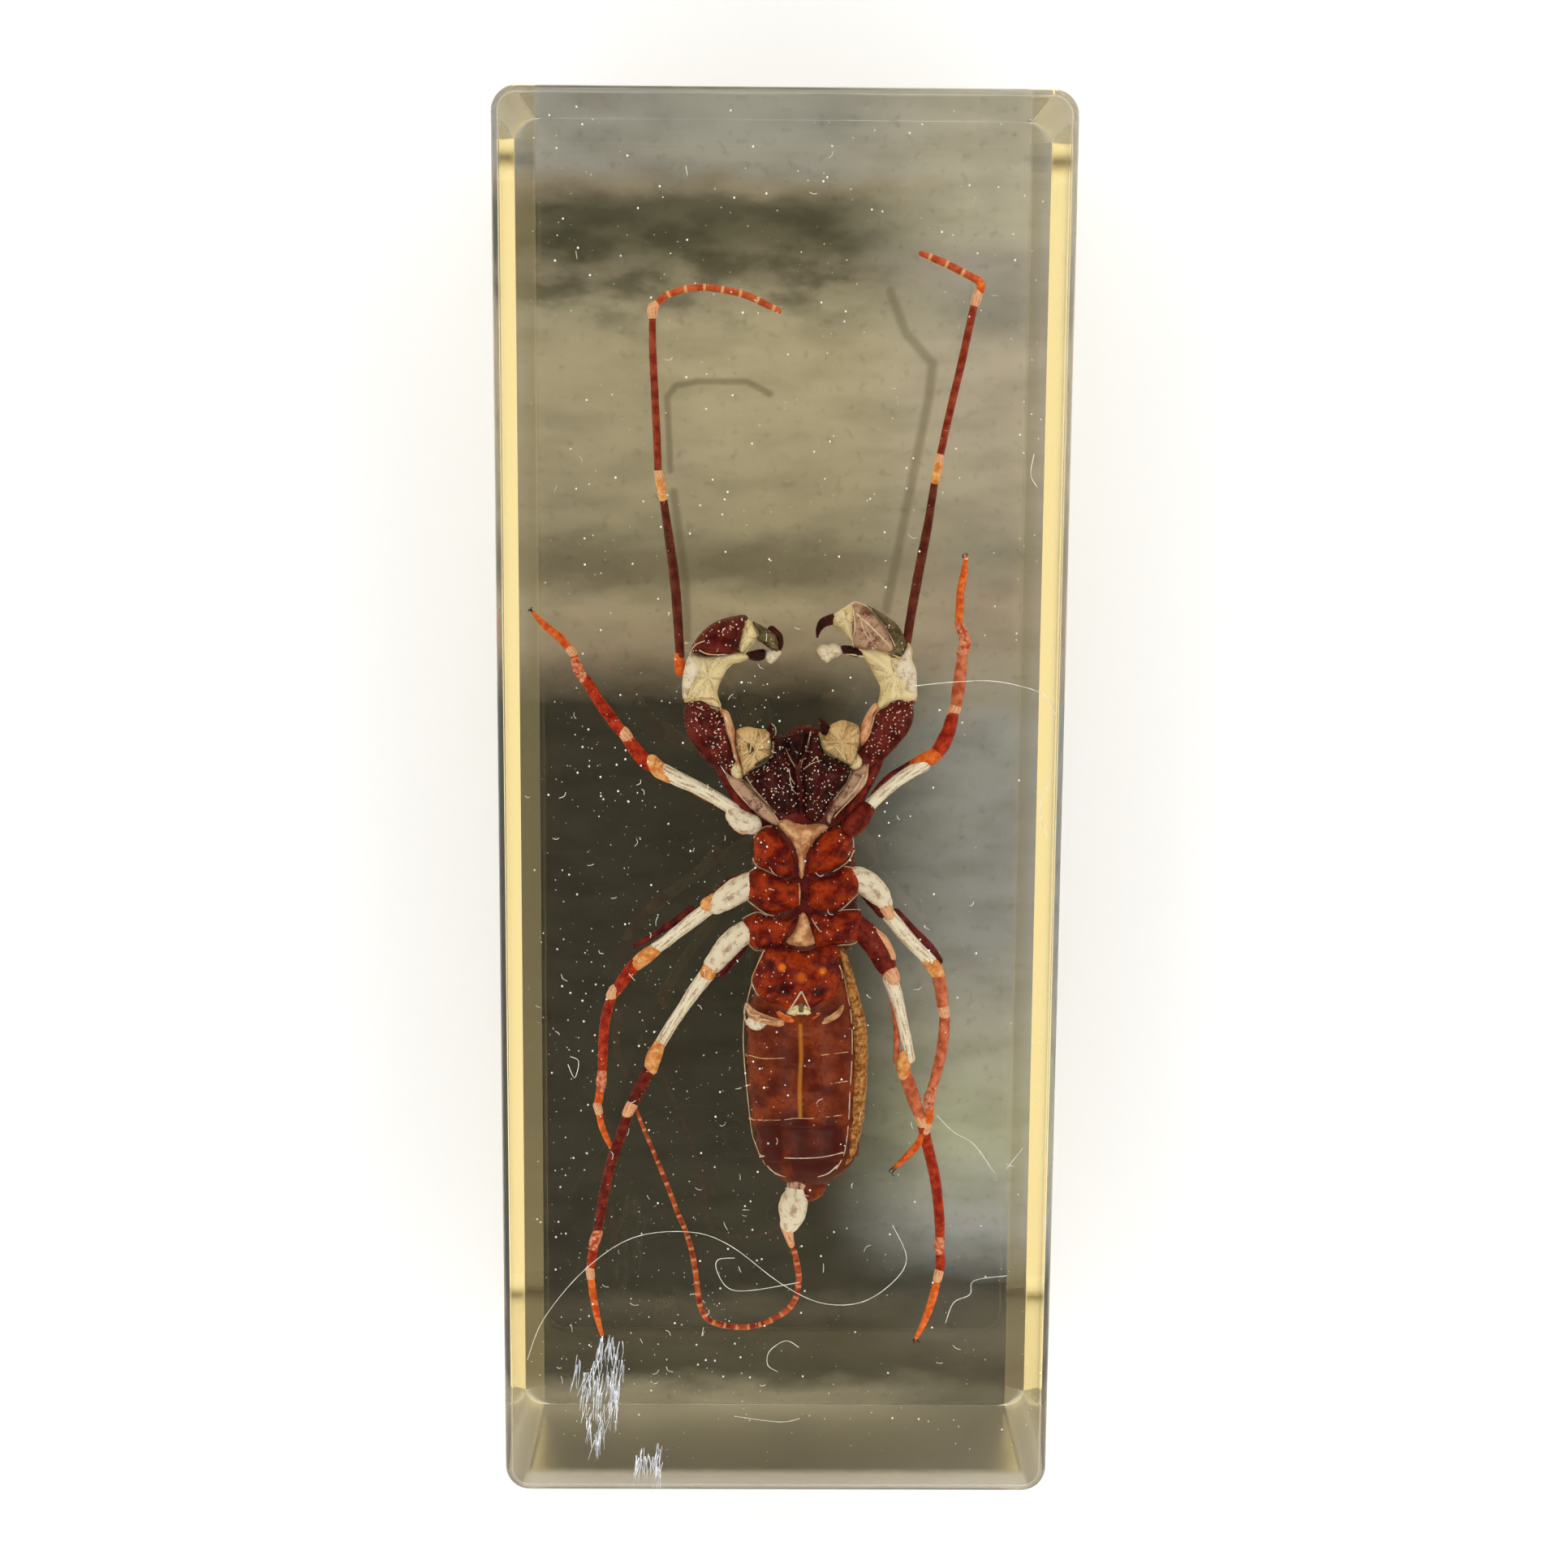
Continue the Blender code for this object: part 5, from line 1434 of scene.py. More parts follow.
MOUTH = ShellGroup("mouth_plates", (
    Shell(Skin.BLACK_MAROON, ((967, 909), (972, 906), (981, 900), (986, 899), (996, 903), (997, 916),
        (990, 933), (982, 947), (975, 937), (968, 922)), 18.6, 0.8, 1.2, 0.8, pinpoints=10),
    Shell(Skin.BLACK_MAROON, ((952, 909), (957, 906), (966, 908), (968, 919), (972, 934), (981, 947),
        (985, 970), (987, 992), (987, 1011), (981, 1003), (969, 1007), (963, 1002), (953, 1000), (939, 985),
        (924, 968), (918, 957), (925, 951), (951, 933)), 18.8, 1.5, 1.2, 1.3, creases=(Crease(((950, 940),
        (960, 965), (975, 990)), 0.15, 0.7), ), pinpoints=95),
    Shell(Skin.BLACK_MAROON, ((998, 900), (1009, 908), (1014, 925), (1041, 941), (1049, 949), (1044, 965),
        (1028, 983), (1016, 1007), (1009, 1014), (995, 1012), (987, 1003), (987, 992), (986, 970),
        (985, 948), (991, 932), (996, 916)), 18.8, 1.5, 1.2, 1.3, creases=(Crease(((1020, 942), (1012, 965),
        (1000, 990)), 0.15, 0.7), ), pinpoints=95)), (
    Ribs(Skin.RIB, 0.06, (((920, 957), (930, 972), (956, 1001)), ((1048, 950), (1042, 966), (1027, 986),
        (1016, 1007)), ((988, 1012), (996, 1015), (1008, 1014)), ((969, 922), (973, 933), (979, 945)),
        ((999, 902), (997, 912), (992, 925), (988, 942)), ((952, 910), (953, 922), (952, 933)), ((985, 948),
        (988, 990), (988, 1008)))),
    Ribs(Skin.WHITE_RIB, 0.035, (((954, 1001), (951, 1006)), ((959, 1001), (957, 1008)), ((964, 1003),
        (963, 1010)), ((969, 1006), (969, 1012)), ((975, 1006), (976, 1012)), ((1010, 1010), (1012, 1016)),
        ((1004, 1012), (1005, 1018)), ((998, 1012), (998, 1019)), ((1001, 938), (1006, 933), (1009, 940)),
        ((972, 948), (974, 958), (979, 966)), ((990, 948), (1000, 941), (1012, 937)), ((973, 960),
        (976, 972), (981, 978)), ((951, 892), (955, 896), (956, 903), (953, 909))))))

CHEST = ShellGroup("chest_plates", (
    Shell(Skin.MAUVE, ((889, 944), (899, 953), (916, 961), (925, 970), (953, 999), (962, 1012), (957, 1019),
        (944, 1012), (927, 999), (902, 971)), 18.6, 1.0, 1.0, 0.5, creases=(Crease(((898, 958), (920, 978),
        (950, 1008)), -0.16, 0.22), )),
    Shell(Skin.MAUVE, ((1048, 950), (1056, 947), (1069, 939), (1069, 961), (1061, 975), (1041, 992),
        (1028, 1006), (1023, 1017), (1016, 1010), (1021, 995), (1042, 964)), 18.6, 1.0, 1.0, 0.5,
        creases=(Crease(((1060, 955), (1045, 975), (1026, 1002)), -0.16, 0.22), )),
    Shell(Skin.STERNAL, ((956, 1014), (969, 1008), (988, 1013), (1009, 1013), (1021, 1018), (1008, 1034),
        (996, 1053), (992, 1079), (987, 1085), (983, 1079), (981, 1054), (971, 1034)), 18.9, 1.0, 1.0, 1.0,
        creases=(Crease(((966, 1018), (988, 1036), (987, 1078)), 0.18, 0.25), Crease(((1012, 1019),
        (992, 1036)), 0.14, 0.2))),
    Shell(Skin.MAHOGANY, ((929, 1032), (940, 1020), (951, 1019), (958, 1027), (972, 1041), (979, 1057),
        (979, 1077), (972, 1083), (958, 1080), (947, 1074), (933, 1067), (928, 1058)), 18.8, 1.4, 1.1, 1.0,
        pinpoints=8),
    Shell(Skin.MAHOGANY, ((1019, 1020), (1033, 1019), (1049, 1029), (1051, 1046), (1043, 1061), (1026, 1073),
        (1000, 1080), (994, 1076), (995, 1060), (1003, 1041), (1013, 1026)), 18.8, 1.4, 1.1, 1.0,
        pinpoints=8),
    Shell(Skin.MAHOGANY, ((921, 1077), (933, 1070), (947, 1075), (964, 1082), (981, 1085), (989, 1092),
        (989, 1106), (984, 1118), (967, 1125), (950, 1127), (937, 1120), (922, 1109), (918, 1092)), 18.8,
        1.5, 1.1, 1.1, pinpoints=8),
    Shell(Skin.MAHOGANY, ((996, 1086), (1006, 1081), (1026, 1077), (1041, 1069), (1054, 1072), (1062, 1084),
        (1059, 1098), (1037, 1120), (1020, 1124), (1001, 1121), (993, 1106)), 18.8, 1.5, 1.1, 1.1,
        pinpoints=8),
    Shell(Skin.MAHOGANY, ((915, 1133), (933, 1125), (942, 1130), (959, 1132), (978, 1127), (984, 1129),
        (972, 1153), (964, 1165), (942, 1168), (932, 1171), (922, 1161), (919, 1146)), 18.8, 1.4, 1.1, 1.0,
        pinpoints=10),
    Shell(Skin.MAHOGANY, ((999, 1125), (1020, 1126), (1058, 1121), (1063, 1133), (1061, 1148), (1053, 1162),
        (1027, 1164), (1006, 1170), (1001, 1157), (999, 1139)), 18.8, 1.4, 1.1, 1.0, pinpoints=10),
    Shell(Skin.STERNAL, ((989, 1122), (996, 1127), (1002, 1146), (1006, 1163), (987, 1168), (967, 1162),
        (977, 1147), (983, 1129)), 18.9, 1.35, 1.0, 0.8, creases=(Crease(((990, 1128), (988, 1146),
        (976, 1160)), -0.14, 0.2), ))), (
    Ribs(Skin.RIB, 0.075, (((889, 944), (925, 970), (940, 986), (960, 1013)), ((1069, 942), (1066, 962),
        (1052, 981), (1032, 1002), (1023, 1015)), ((957, 1020), (970, 1034), (981, 1054), (984, 1078)),
        ((1019, 1019), (1007, 1034), (996, 1053), (992, 1079)), ((928, 1058), (934, 1068), (948, 1075),
        (962, 1081), (981, 1086)), ((1052, 1048), (1044, 1062), (1026, 1074), (1006, 1081), (996, 1086)),
        ((921, 1109), (936, 1121), (950, 1128), (967, 1126), (984, 1119)), ((1060, 1098), (1036, 1121),
        (1020, 1125), (1000, 1122)), ((919, 1146), (922, 1161), (932, 1171), (945, 1168)), ((1062, 1148),
        (1053, 1162), (1030, 1165), (1006, 1170)), ((984, 1087), (985, 1102), (984, 1118)), ((993, 1087),
        (993, 1104), (998, 1121)))),
    Ribs(Skin.WHITE_RIB, 0.05, (((929, 1032), (940, 1020), (951, 1018)), ((1033, 1018), (1049, 1028),
        (1052, 1044)), ((918, 1092), (920, 1078), (932, 1069)), ((1041, 1068), (1055, 1071), (1063, 1084)),
        ((998, 1126), (1004, 1138), (1011, 1148)), ((982, 1130), (976, 1148), (968, 1160)), ((984, 1128),
        (996, 1127)), ((915, 1132), (933, 1124), (945, 1129)), ((1020, 1126), (1042, 1121), (1060, 1121)),
        ((900, 965), (912, 980), (926, 996)), ((1064, 955), (1054, 972), (1040, 986))))))


@dataclass(frozen=True)
class Carapace:
    """The back shield, which carries the chest plates and shows from the other side."""

    name: str = "back_shield"
    middle: float = 2.1
    stations: tuple[tuple[float, float, float, float], ...] = ((2.1, 4.6, 17.7, 2.2), (2.1, 2.8, 17.5, 3.4),
        (2.1, -0.5, 17.3, 4.0), (2.1, -4.5, 17.2, 4.1), (2.2, -8.5, 17.2, 4.3), (2.2, -11.0, 17.4, 4.0),
        (2.2, -12.6, 17.6, 3.0))
    flatness: float = 0.54
    eyes: tuple[Station, ...] = ((1.7, 2.6, 15.75), (2.5, 2.6, 15.75), (-0.9, 1.2, 16.1), (5.1, 1.2, 16.1))
    eye_radius: float = 0.24
    groove_rows: tuple[float, ...] = (-2.0, -4.0, -6.0, -8.0, -10.0)
    groove_reaches: tuple[float, ...] = (0.8, 1.6, 2.4, 3.2)
    groove_level: float = 15.0
    back_half: float = 3.6

    def build(self) -> bpy.types.Object:
        """Makes the shield, with its eyes and low side grooves.

        Returns:
            The piece.
        """
        carving = Carving(self.name)
        path = [(Vector((x, y, z)), half) for x, y, z, half in smooth_path(self.stations, 6)]
        carving.sweep(path, Skin.MAROON.value, 30, self.flatness, 0.03)
        for place in self.eyes:
            carving.bead(Vector(place), self.eye_radius, Skin.CLAW.value)
        for row in self.groove_rows:
            for side in (-1, 1):
                points = []
                for reach in self.groove_reaches:
                    level = self.groove_level + reach * 0.10 + (reach / self.back_half) ** 4 * 0.5
                    points.append(Vector((self.middle + side * reach, row - reach * 0.25, level)))
                carving.strand(points, 0.10, Skin.BLACK_MAROON.value, taper=0.4)
        return carving.make(CHITIN_SLOT, ANIMAL_NODE)


@dataclass(frozen=True)
class Abdomen:
    """The oval hind body: overlapping belly plates, pale hinge lines and the tan side strip."""

    name: str = "abdomen"
    stations: tuple[tuple[float, float, float, float], ...] = ((2.15, -11.8, 18.0, 2.60),
        (2.15, -13.0, 18.0, 3.40), (2.1, -15.0, 17.9, 4.05), (2.1, -18.0, 17.8, 4.70),
        (2.35, -22.0, 17.8, 4.95), (2.5, -26.5, 17.8, 4.65), (2.6, -29.4, 17.9, 4.10),
        (2.65, -31.0, 18.0, 2.95), (2.7, -31.9, 18.1, 1.50))
    flatness: float = 0.62
    plate_ends: tuple[float, ...] = (-16.6, -18.5, -21.1, -23.7, -26.5, -29.6)
    ledge: float = 0.14
    ledge_run: float = 0.5
    sides: int = 56
    steps: int = 18
    px_per_mm: float = 13.5

    def build(self) -> bpy.types.Object:
        """Makes the hind body.

        Returns:
            The piece.
        """
        carving = Carving(self.name)
        path = []
        for x, y, z, half in smooth_path(self.stations, self.steps):
            step = max((math.exp(-max(y - end, 0.0) / self.ledge_run) for end in self.plate_ends if y >= end),
                       default=0.0)
            path.append((Vector((x, y, z)), half * (1.0 + 0.012 * step) + self.ledge * (step - 0.5)))
        carving.sweep(path, self.shell(), self.sides, self.flatness, 0.012)
        ground = carving.ground()
        for ribs in self.hinge_lines():
            ribs.lay(carving, ground)
        self._add_side_strip(carving, ground)
        return carving.make(CHITIN_SLOT, ANIMAL_NODE)

    @staticmethod
    def shell() -> Chitin:
        """Gives the belly's shell, with the stripe and the darker end that the photograph shows."""
        gold = Streak(((986, 1262), (987, 1300), (985, 1340), (986, 1374)), 0.16, (0.58, 0.22, 0.03), 0.8)
        wine = (0.070, 0.008, 0.005)
        dark = tuple(Patch((column, row), 2.2, wine)
                     for row in (1395, 1418, 1440) for column in (950, 985, 1020))
        return Chitin("belly_shell", deep=(0.10, 0.009, 0.003), bright=(0.27, 0.045, 0.010), cloud_scale=0.55,
                      pale=(0.70, 0.40, 0.24), pinpoint_scale=1.3, pinpoint_size=0.05, roughness=0.2,
                      relief=0.025, patches=dark, streaks=(gold,))

    @staticmethod
    def hinge_lines() -> tuple[Ribs, ...]:
        """Gives the pale lines between the belly plates."""
        return (
            Ribs(Skin.RIB, 0.055, (
                ((919, 1300), (926, 1301), (938, 1304), (960, 1304), (1013, 1300), (1045, 1296)),
                ((921, 1336), (952, 1340), (1008, 1337), (1044, 1332)),
                ((923, 1378), (936, 1380), (963, 1380), (980, 1378), (1002, 1378), (1037, 1374)))),
            Ribs(Skin.WHITE_RIB, 0.08, (
                ((936, 1424), (974, 1427), (1011, 1426), (1039, 1420)),
                ((946, 1437), (956, 1446), (968, 1450)), ((1032, 1436), (1020, 1446), (1008, 1450)))),
            Ribs(Skin.RIB, 0.045, (
                ((938, 1172), (920, 1237), (916, 1290), (925, 1385), (931, 1410), (941, 1432),
                 (955, 1447)),)))

    def _add_side_strip(self, carving: Carving, ground: BVHTree) -> None:
        """Adds the granular tan skin that shows along the right side.

        Args:
            carving: the hind body so far.
            ground: its surface.
        """
        middle = ((1036, 1170), (1044, 1195), (1050, 1222), (1056, 1248), (1059, 1278), (1059, 1310),
            (1057, 1345), (1055, 1375), (1051, 1402), (1045, 1424), (1034, 1440))
        halves = (0.28, 0.40, 0.48, 0.56, 0.66, 0.70, 0.72, 0.66, 0.55, 0.42, 0.24)
        stations = smooth_path([(*pixel, half) for pixel, half in zip(middle, halves)], 6)
        path = [(EYE.at((x, y), 18.7), half) for x, y, half in stations]
        carving.sweep(path, Skin.TAN.value, 16, 1.6, 0.16)
        edge = tuple((x - half * self.px_per_mm, y) for (x, y), half in zip(middle, halves))
        Ribs(Skin.WHITE_RIB, 0.06, (edge,)).lay(carving, ground)
        curl = ((1062, 1353), (1056, 1355), (1060, 1368), (1058, 1378), (1047, 1386))
        carving.strand([EYE.at(pixel, 19.6) for pixel in curl], 0.05, Skin.WHITE_RIB.value)


FIRST_PLATE = ShellGroup("first_belly_plate", (
    Shell(Skin.STERNAL, ((921, 1236), (932, 1246), (949, 1252), (988, 1258), (1011, 1254), (1025, 1248),
        (1040, 1238), (1034, 1254), (1012, 1266), (988, 1271), (964, 1268), (940, 1262), (922, 1254)), 19.9,
        0.62, 0.6, 0.4),
    Shell(Skin.FIRST_PLATE, ((941, 1168), (932, 1190), (926, 1209), (930, 1222), (942, 1234), (960, 1247),
        (973, 1253), (988, 1255), (1001, 1252), (1012, 1246), (1025, 1235), (1034, 1221), (1039, 1200),
        (1036, 1183), (1032, 1165), (1009, 1167), (988, 1171), (963, 1164)), 18.9, 2.0, 1.0, 1.9,
        creases=(Crease(((987, 1180), (987, 1222)), -0.18, 0.35), Crease(((940, 1185), (944, 1215),
        (962, 1240)), -0.15, 0.35), Crease(((1028, 1185), (1026, 1215), (1010, 1240)), -0.15, 0.35)),
        pinpoints=26),
    Shell(Skin.PLEATED, ((987, 1223), (993, 1234), (1000, 1249), (987, 1251), (969, 1249), (980, 1234)),
        20.5, 0.35, 0.4, 0.5, creases=(Crease(((987, 1228), (987, 1248)), -0.12, 0.2), )),
    Shell(Skin.OLIVE, ((987, 1229), (992, 1240), (990, 1247), (984, 1247), (982, 1240)), 20.75, 0.12, 0.2,
        0.3),
    Shell(Skin.EMBER, ((956, 1244), (973, 1252), (988, 1254), (1001, 1251), (1013, 1245), (1006, 1257),
        (997, 1260), (983, 1263), (969, 1261), (960, 1255)), 20.35, 0.25, 0.3, 0.3),
    Shell(Skin.SILVER, ((920, 1239), (926, 1248), (935, 1251), (950, 1256), (946, 1263), (936, 1270),
        (925, 1268), (919, 1259), (923, 1252)), 19.7, 0.5, 0.4, 0.3)), (
    Ribs(Skin.RIB, 0.07, (((942, 1171), (935, 1186), (927, 1206), (930, 1219), (941, 1232), (957, 1245),
        (973, 1253), (988, 1255)), ((1034, 1190), (1038, 1205), (1034, 1221), (1025, 1235), (1012, 1246),
        (1000, 1252)), ((921, 1238), (932, 1247), (969, 1260), (988, 1263), (1011, 1258), (1038, 1243)))),
    Ribs(Skin.WHITE_RIB, 0.07, (((987, 1222), (979, 1235), (969, 1249)), ((988, 1222), (994, 1235),
        (1000, 1249)), ((969, 1249), (987, 1251), (1000, 1249)), ((928, 1214), (934, 1226), (943, 1235)),
        ((1034, 1222), (1026, 1236), (1012, 1249)), ((919, 1238), (925, 1250), (936, 1252)), ((930, 1262),
        (938, 1256), (948, 1258)), ((919, 1237), (917, 1248), (920, 1262))))))


@dataclass(frozen=True)
class Tail:
    """The pale tail stalk, the dark rings before it, and the long thin whip."""

    name: str = "tail_and_whip"
    stalk: tuple[Tube, ...] = (
        part(Skin.BLACK_MAROON, 18.1, 18.2, (1000, 1438, 1.0), (999, 1452, 0.72), (994, 1464, 0.62),
             (989, 1472, 0.55)),
        part(Skin.MAUVE, 18.2, 18.2, (984, 1446, 1.05), (984, 1454, 1.0), (983, 1460, 0.92)),
        ring(18.5, (969, 1453, 0.22), (982, 1457, 0.26), (996, 1452, 0.22)),
        part(Skin.SILVER, 18.2, 18.2, (983, 1459, 0.86), (982, 1468, 0.94), (980, 1476, 1.10),
             (977, 1486, 1.20), (976, 1497, 1.12), (973, 1507, 0.85)),
        part(Skin.CREAM, 18.2, 18.15, (971, 1500, 0.66), (970, 1512, 0.55), (972, 1522, 0.40),
             (975, 1534, 0.26)))
    whip: tuple[Station, ...] = ((975, 1530, 0.25), (979, 1543, 0.25), (982, 1557, 0.26), (984, 1572, 0.26),
        (983, 1588, 0.26), (979, 1602, 0.26), (970, 1614, 0.26), (958, 1622, 0.26), (944, 1629, 0.25),
        (926, 1634, 0.25), (906, 1635, 0.25), (884, 1631, 0.25), (872, 1625, 0.26), (864, 1612, 0.26),
        (860, 1594, 0.24), (857, 1568, 0.24), (852, 1540, 0.23), (844, 1515, 0.22), (835, 1494, 0.21),
        (822, 1460, 0.20), (809, 1428, 0.18), (797, 1400, 0.17), (789, 1380, 0.16), (784, 1368, 0.13))
    whip_level: float = 18.0

    def build(self) -> bpy.types.Object:
        """Makes the tail.

        Returns:
            The piece.
        """
        carving = Carving(self.name)
        for tube in self.stalk:
            carving.tube(tube)
        path = [(EYE.at((x, y), self.whip_level), half) for x, y, half in smooth_path(self.whip, 8)]
        carving.sweep(path, Skin.WHIP.value, 9, 1.0, 0.15)
        ground = carving.ground()
        Ribs(Skin.WHITE_RIB, 0.05, (
            ((968, 1465), (980, 1469), (998, 1474)), ((960, 1485), (962, 1500), (972, 1510)),
            ((972, 1474), (984, 1478), (994, 1480)), ((966, 1498), (978, 1504), (988, 1502)),
            ((976, 1452), (984, 1454), (994, 1452)), ((966, 1508), (968, 1520), (974, 1532)),
            ((982, 1480), (986, 1490), (984, 1502)))).lay(carving, ground)
        return carving.make(CHITIN_SLOT, ANIMAL_NODE)


@dataclass(frozen=True)
class ResinBlock:
    """The polished clear casting in place of the CAD's two halves.

    Its uprights and its front rim are round, and the foot of its two long sides is chamfered.
    """

    name: str = "clear_resin_block"
    corner_radius: float = 2.0
    corner_steps: int = 10
    rim_radius: float = 0.8
    rim_steps: int = 8
    chamfer_run: float = 1.6
    chamfer_rise: float = 1.35
    seat: float = 0.02
    halves: tuple[str, str] = ("resin_front_half", "resin_back_half")
    backing: str = "dark_backing"
    finish: ClearResin = ClearResin("polished_casting")

    def build(self) -> bpy.types.Object:
        """Makes the block from the box that the two halves fill, standing straight on the backing.

        Returns:
            The piece.
        """
        boxes = [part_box(node) for node in self.halves]
        high = Vector(map(max, *(box[1] for box in boxes))) / MM
        foot_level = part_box(self.backing)[1].z / MM + self.seat
        outs = self._outs()
        foot = self._ring(outs, high, 0.0, foot_level)
        ankle = [Vector((point.x, point.y, foot_level + self._cut(point, high))) for point in foot]
        for point in foot:
            point.x = max(min(point.x, high.x - self.chamfer_run), self.chamfer_run - high.x)
        wall_top = self._ring(outs, high, 0.0, high.z - self.rim_radius)
        bands = [(foot, None, ankle, None), (ankle, 0.0, wall_top, 0.0)]
        for step in range(1, self.rim_steps + 1):
            angle = math.pi / 2 * step / self.rim_steps
            rise, inset = (self.rim_radius * (1.0 - share) for share in (math.sin(angle), math.cos(angle)))
            bands.append((*bands[-1][2:], self._ring(outs, high, inset, high.z - rise), angle))
        mesh = self._join(outs, bands)
        mesh.materials.append(self.finish.material())
        block = bpy.data.objects.new(self.name, mesh)
        bpy.context.scene.collection.objects.link(block)
        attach(block, ROOT_BODY)
        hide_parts(*self.halves)
        log.info("%s: %d faces", self.name, len(mesh.polygons))
        return block

    def _outs(self) -> list[Out]:
        """Gives each point of a ring its outward direction and the signs of its corner."""
        outs = []
        for quarter, signs in enumerate(((1, 1), (-1, 1), (-1, -1), (1, -1))):
            for step in range(self.corner_steps + 1):
                angle = math.pi / 2 * (quarter + step / self.corner_steps)
                outs.append((Vector((math.cos(angle), math.sin(angle), 0.0)), *signs))
        return outs

    def _ring(self, outs: Sequence[Out], high: Vector, inset: float, level: float) -> list[Vector]:
        """Makes one outline of the block.

        Args:
            outs: outward directions and corner signs.
            high: highest corner of the block.
            inset: how far it lies in all round.
            level: its height.

        Returns:
            Its points in millimetres.
        """
        core = high - Vector((self.corner_radius, self.corner_radius, 0.0))
        reach = self.corner_radius - inset
        return [Vector((across * core.x + out.x * reach, along * core.y + out.y * reach, level))
                for out, across, along in outs]

    def _cut(self, point: Vector, high: Vector) -> float:
        """Tells how high the chamfer's plane cuts the wall above a point of the outline."""
        return max(0.0, self.chamfer_rise * (1.0 - (high.x - abs(point.x)) / self.chamfer_run))

    def _join(self, outs: Sequence[Out], bands: Sequence[tuple]) -> bpy.types.Mesh:
        """Joins the outlines to a closed mesh, with exact normals so that its flats mirror as flats.

        Args:
            outs: outward directions and corner signs.
            bands: lower outline, its lean, upper outline and its lean; no lean is the chamfer's.

        Returns:
            The mesh.
        """
        spots: dict[tuple[float, ...], int] = {}
        faces, normals = [], []

        def add(corners: Sequence[tuple[Vector, Vector]]) -> None:
            """Adds one face unless its corners fall together."""
            merged = {}
            for point, normal in corners:
                key = tuple(round(value, 5) for value in point)
                merged.setdefault(spots.setdefault(key, len(spots)), normal)
            if len(merged) > 2:
                faces.append(tuple(merged))
                normals.extend(merged.values())

        def lean(out: Vector, angle: Optional[float]) -> Vector:
            """Gives the normal of a wall's point."""
            if angle is None:
                return Vector((math.copysign(self.chamfer_rise, out.x), 0.0, -self.chamfer_run)).normalized()
            return out * math.cos(angle) + Vector((0.0, 0.0, math.sin(angle)))

        for lower, low_angle, upper, high_angle in bands:
            for here in range(len(outs)):
                after = (here + 1) % len(outs)
                corners = ((here, lower, low_angle), (after, lower, low_angle),
                           (after, upper, high_angle), (here, upper, high_angle))
                add([(outline[index], lean(outs[index][0], angle)) for index, outline, angle in corners])
        add([(point, Vector((0.0, 0.0, -1.0))) for point in reversed(bands[0][0])])
        add([(point, Vector((0.0, 0.0, 1.0))) for point in bands[-1][2]])
        mesh = bpy.data.meshes.new(self.name)
        mesh.from_pydata([Vector(spot) * MM for spot in spots], [], faces)
        mesh.shade_smooth()
        mesh.normals_split_custom_set(normals)
        return mesh


@dataclass(frozen=True)
class DarkBacking:
    """The thin dark sheet under the block, the CAD's own node, with its finish of painted reflection bands,
    painted feeler shadows and painted edge shade.
    """

    node: str = "dark_backing"
    finish: PaintedLightSheet = PaintedLightSheet("dark_sheet_with_painted_light")

    def dress(self, nodes: Mapping[str, bpy.types.Object]) -> None:
        """Gives the sheet its finish.

        Args:
            nodes: the CAD nodes by name.
        """
        sheet = nodes[self.node]
        sheet.data.materials.clear()
        sheet.data.materials.append(self.finish.material())
        log.info("%s dressed", self.node)


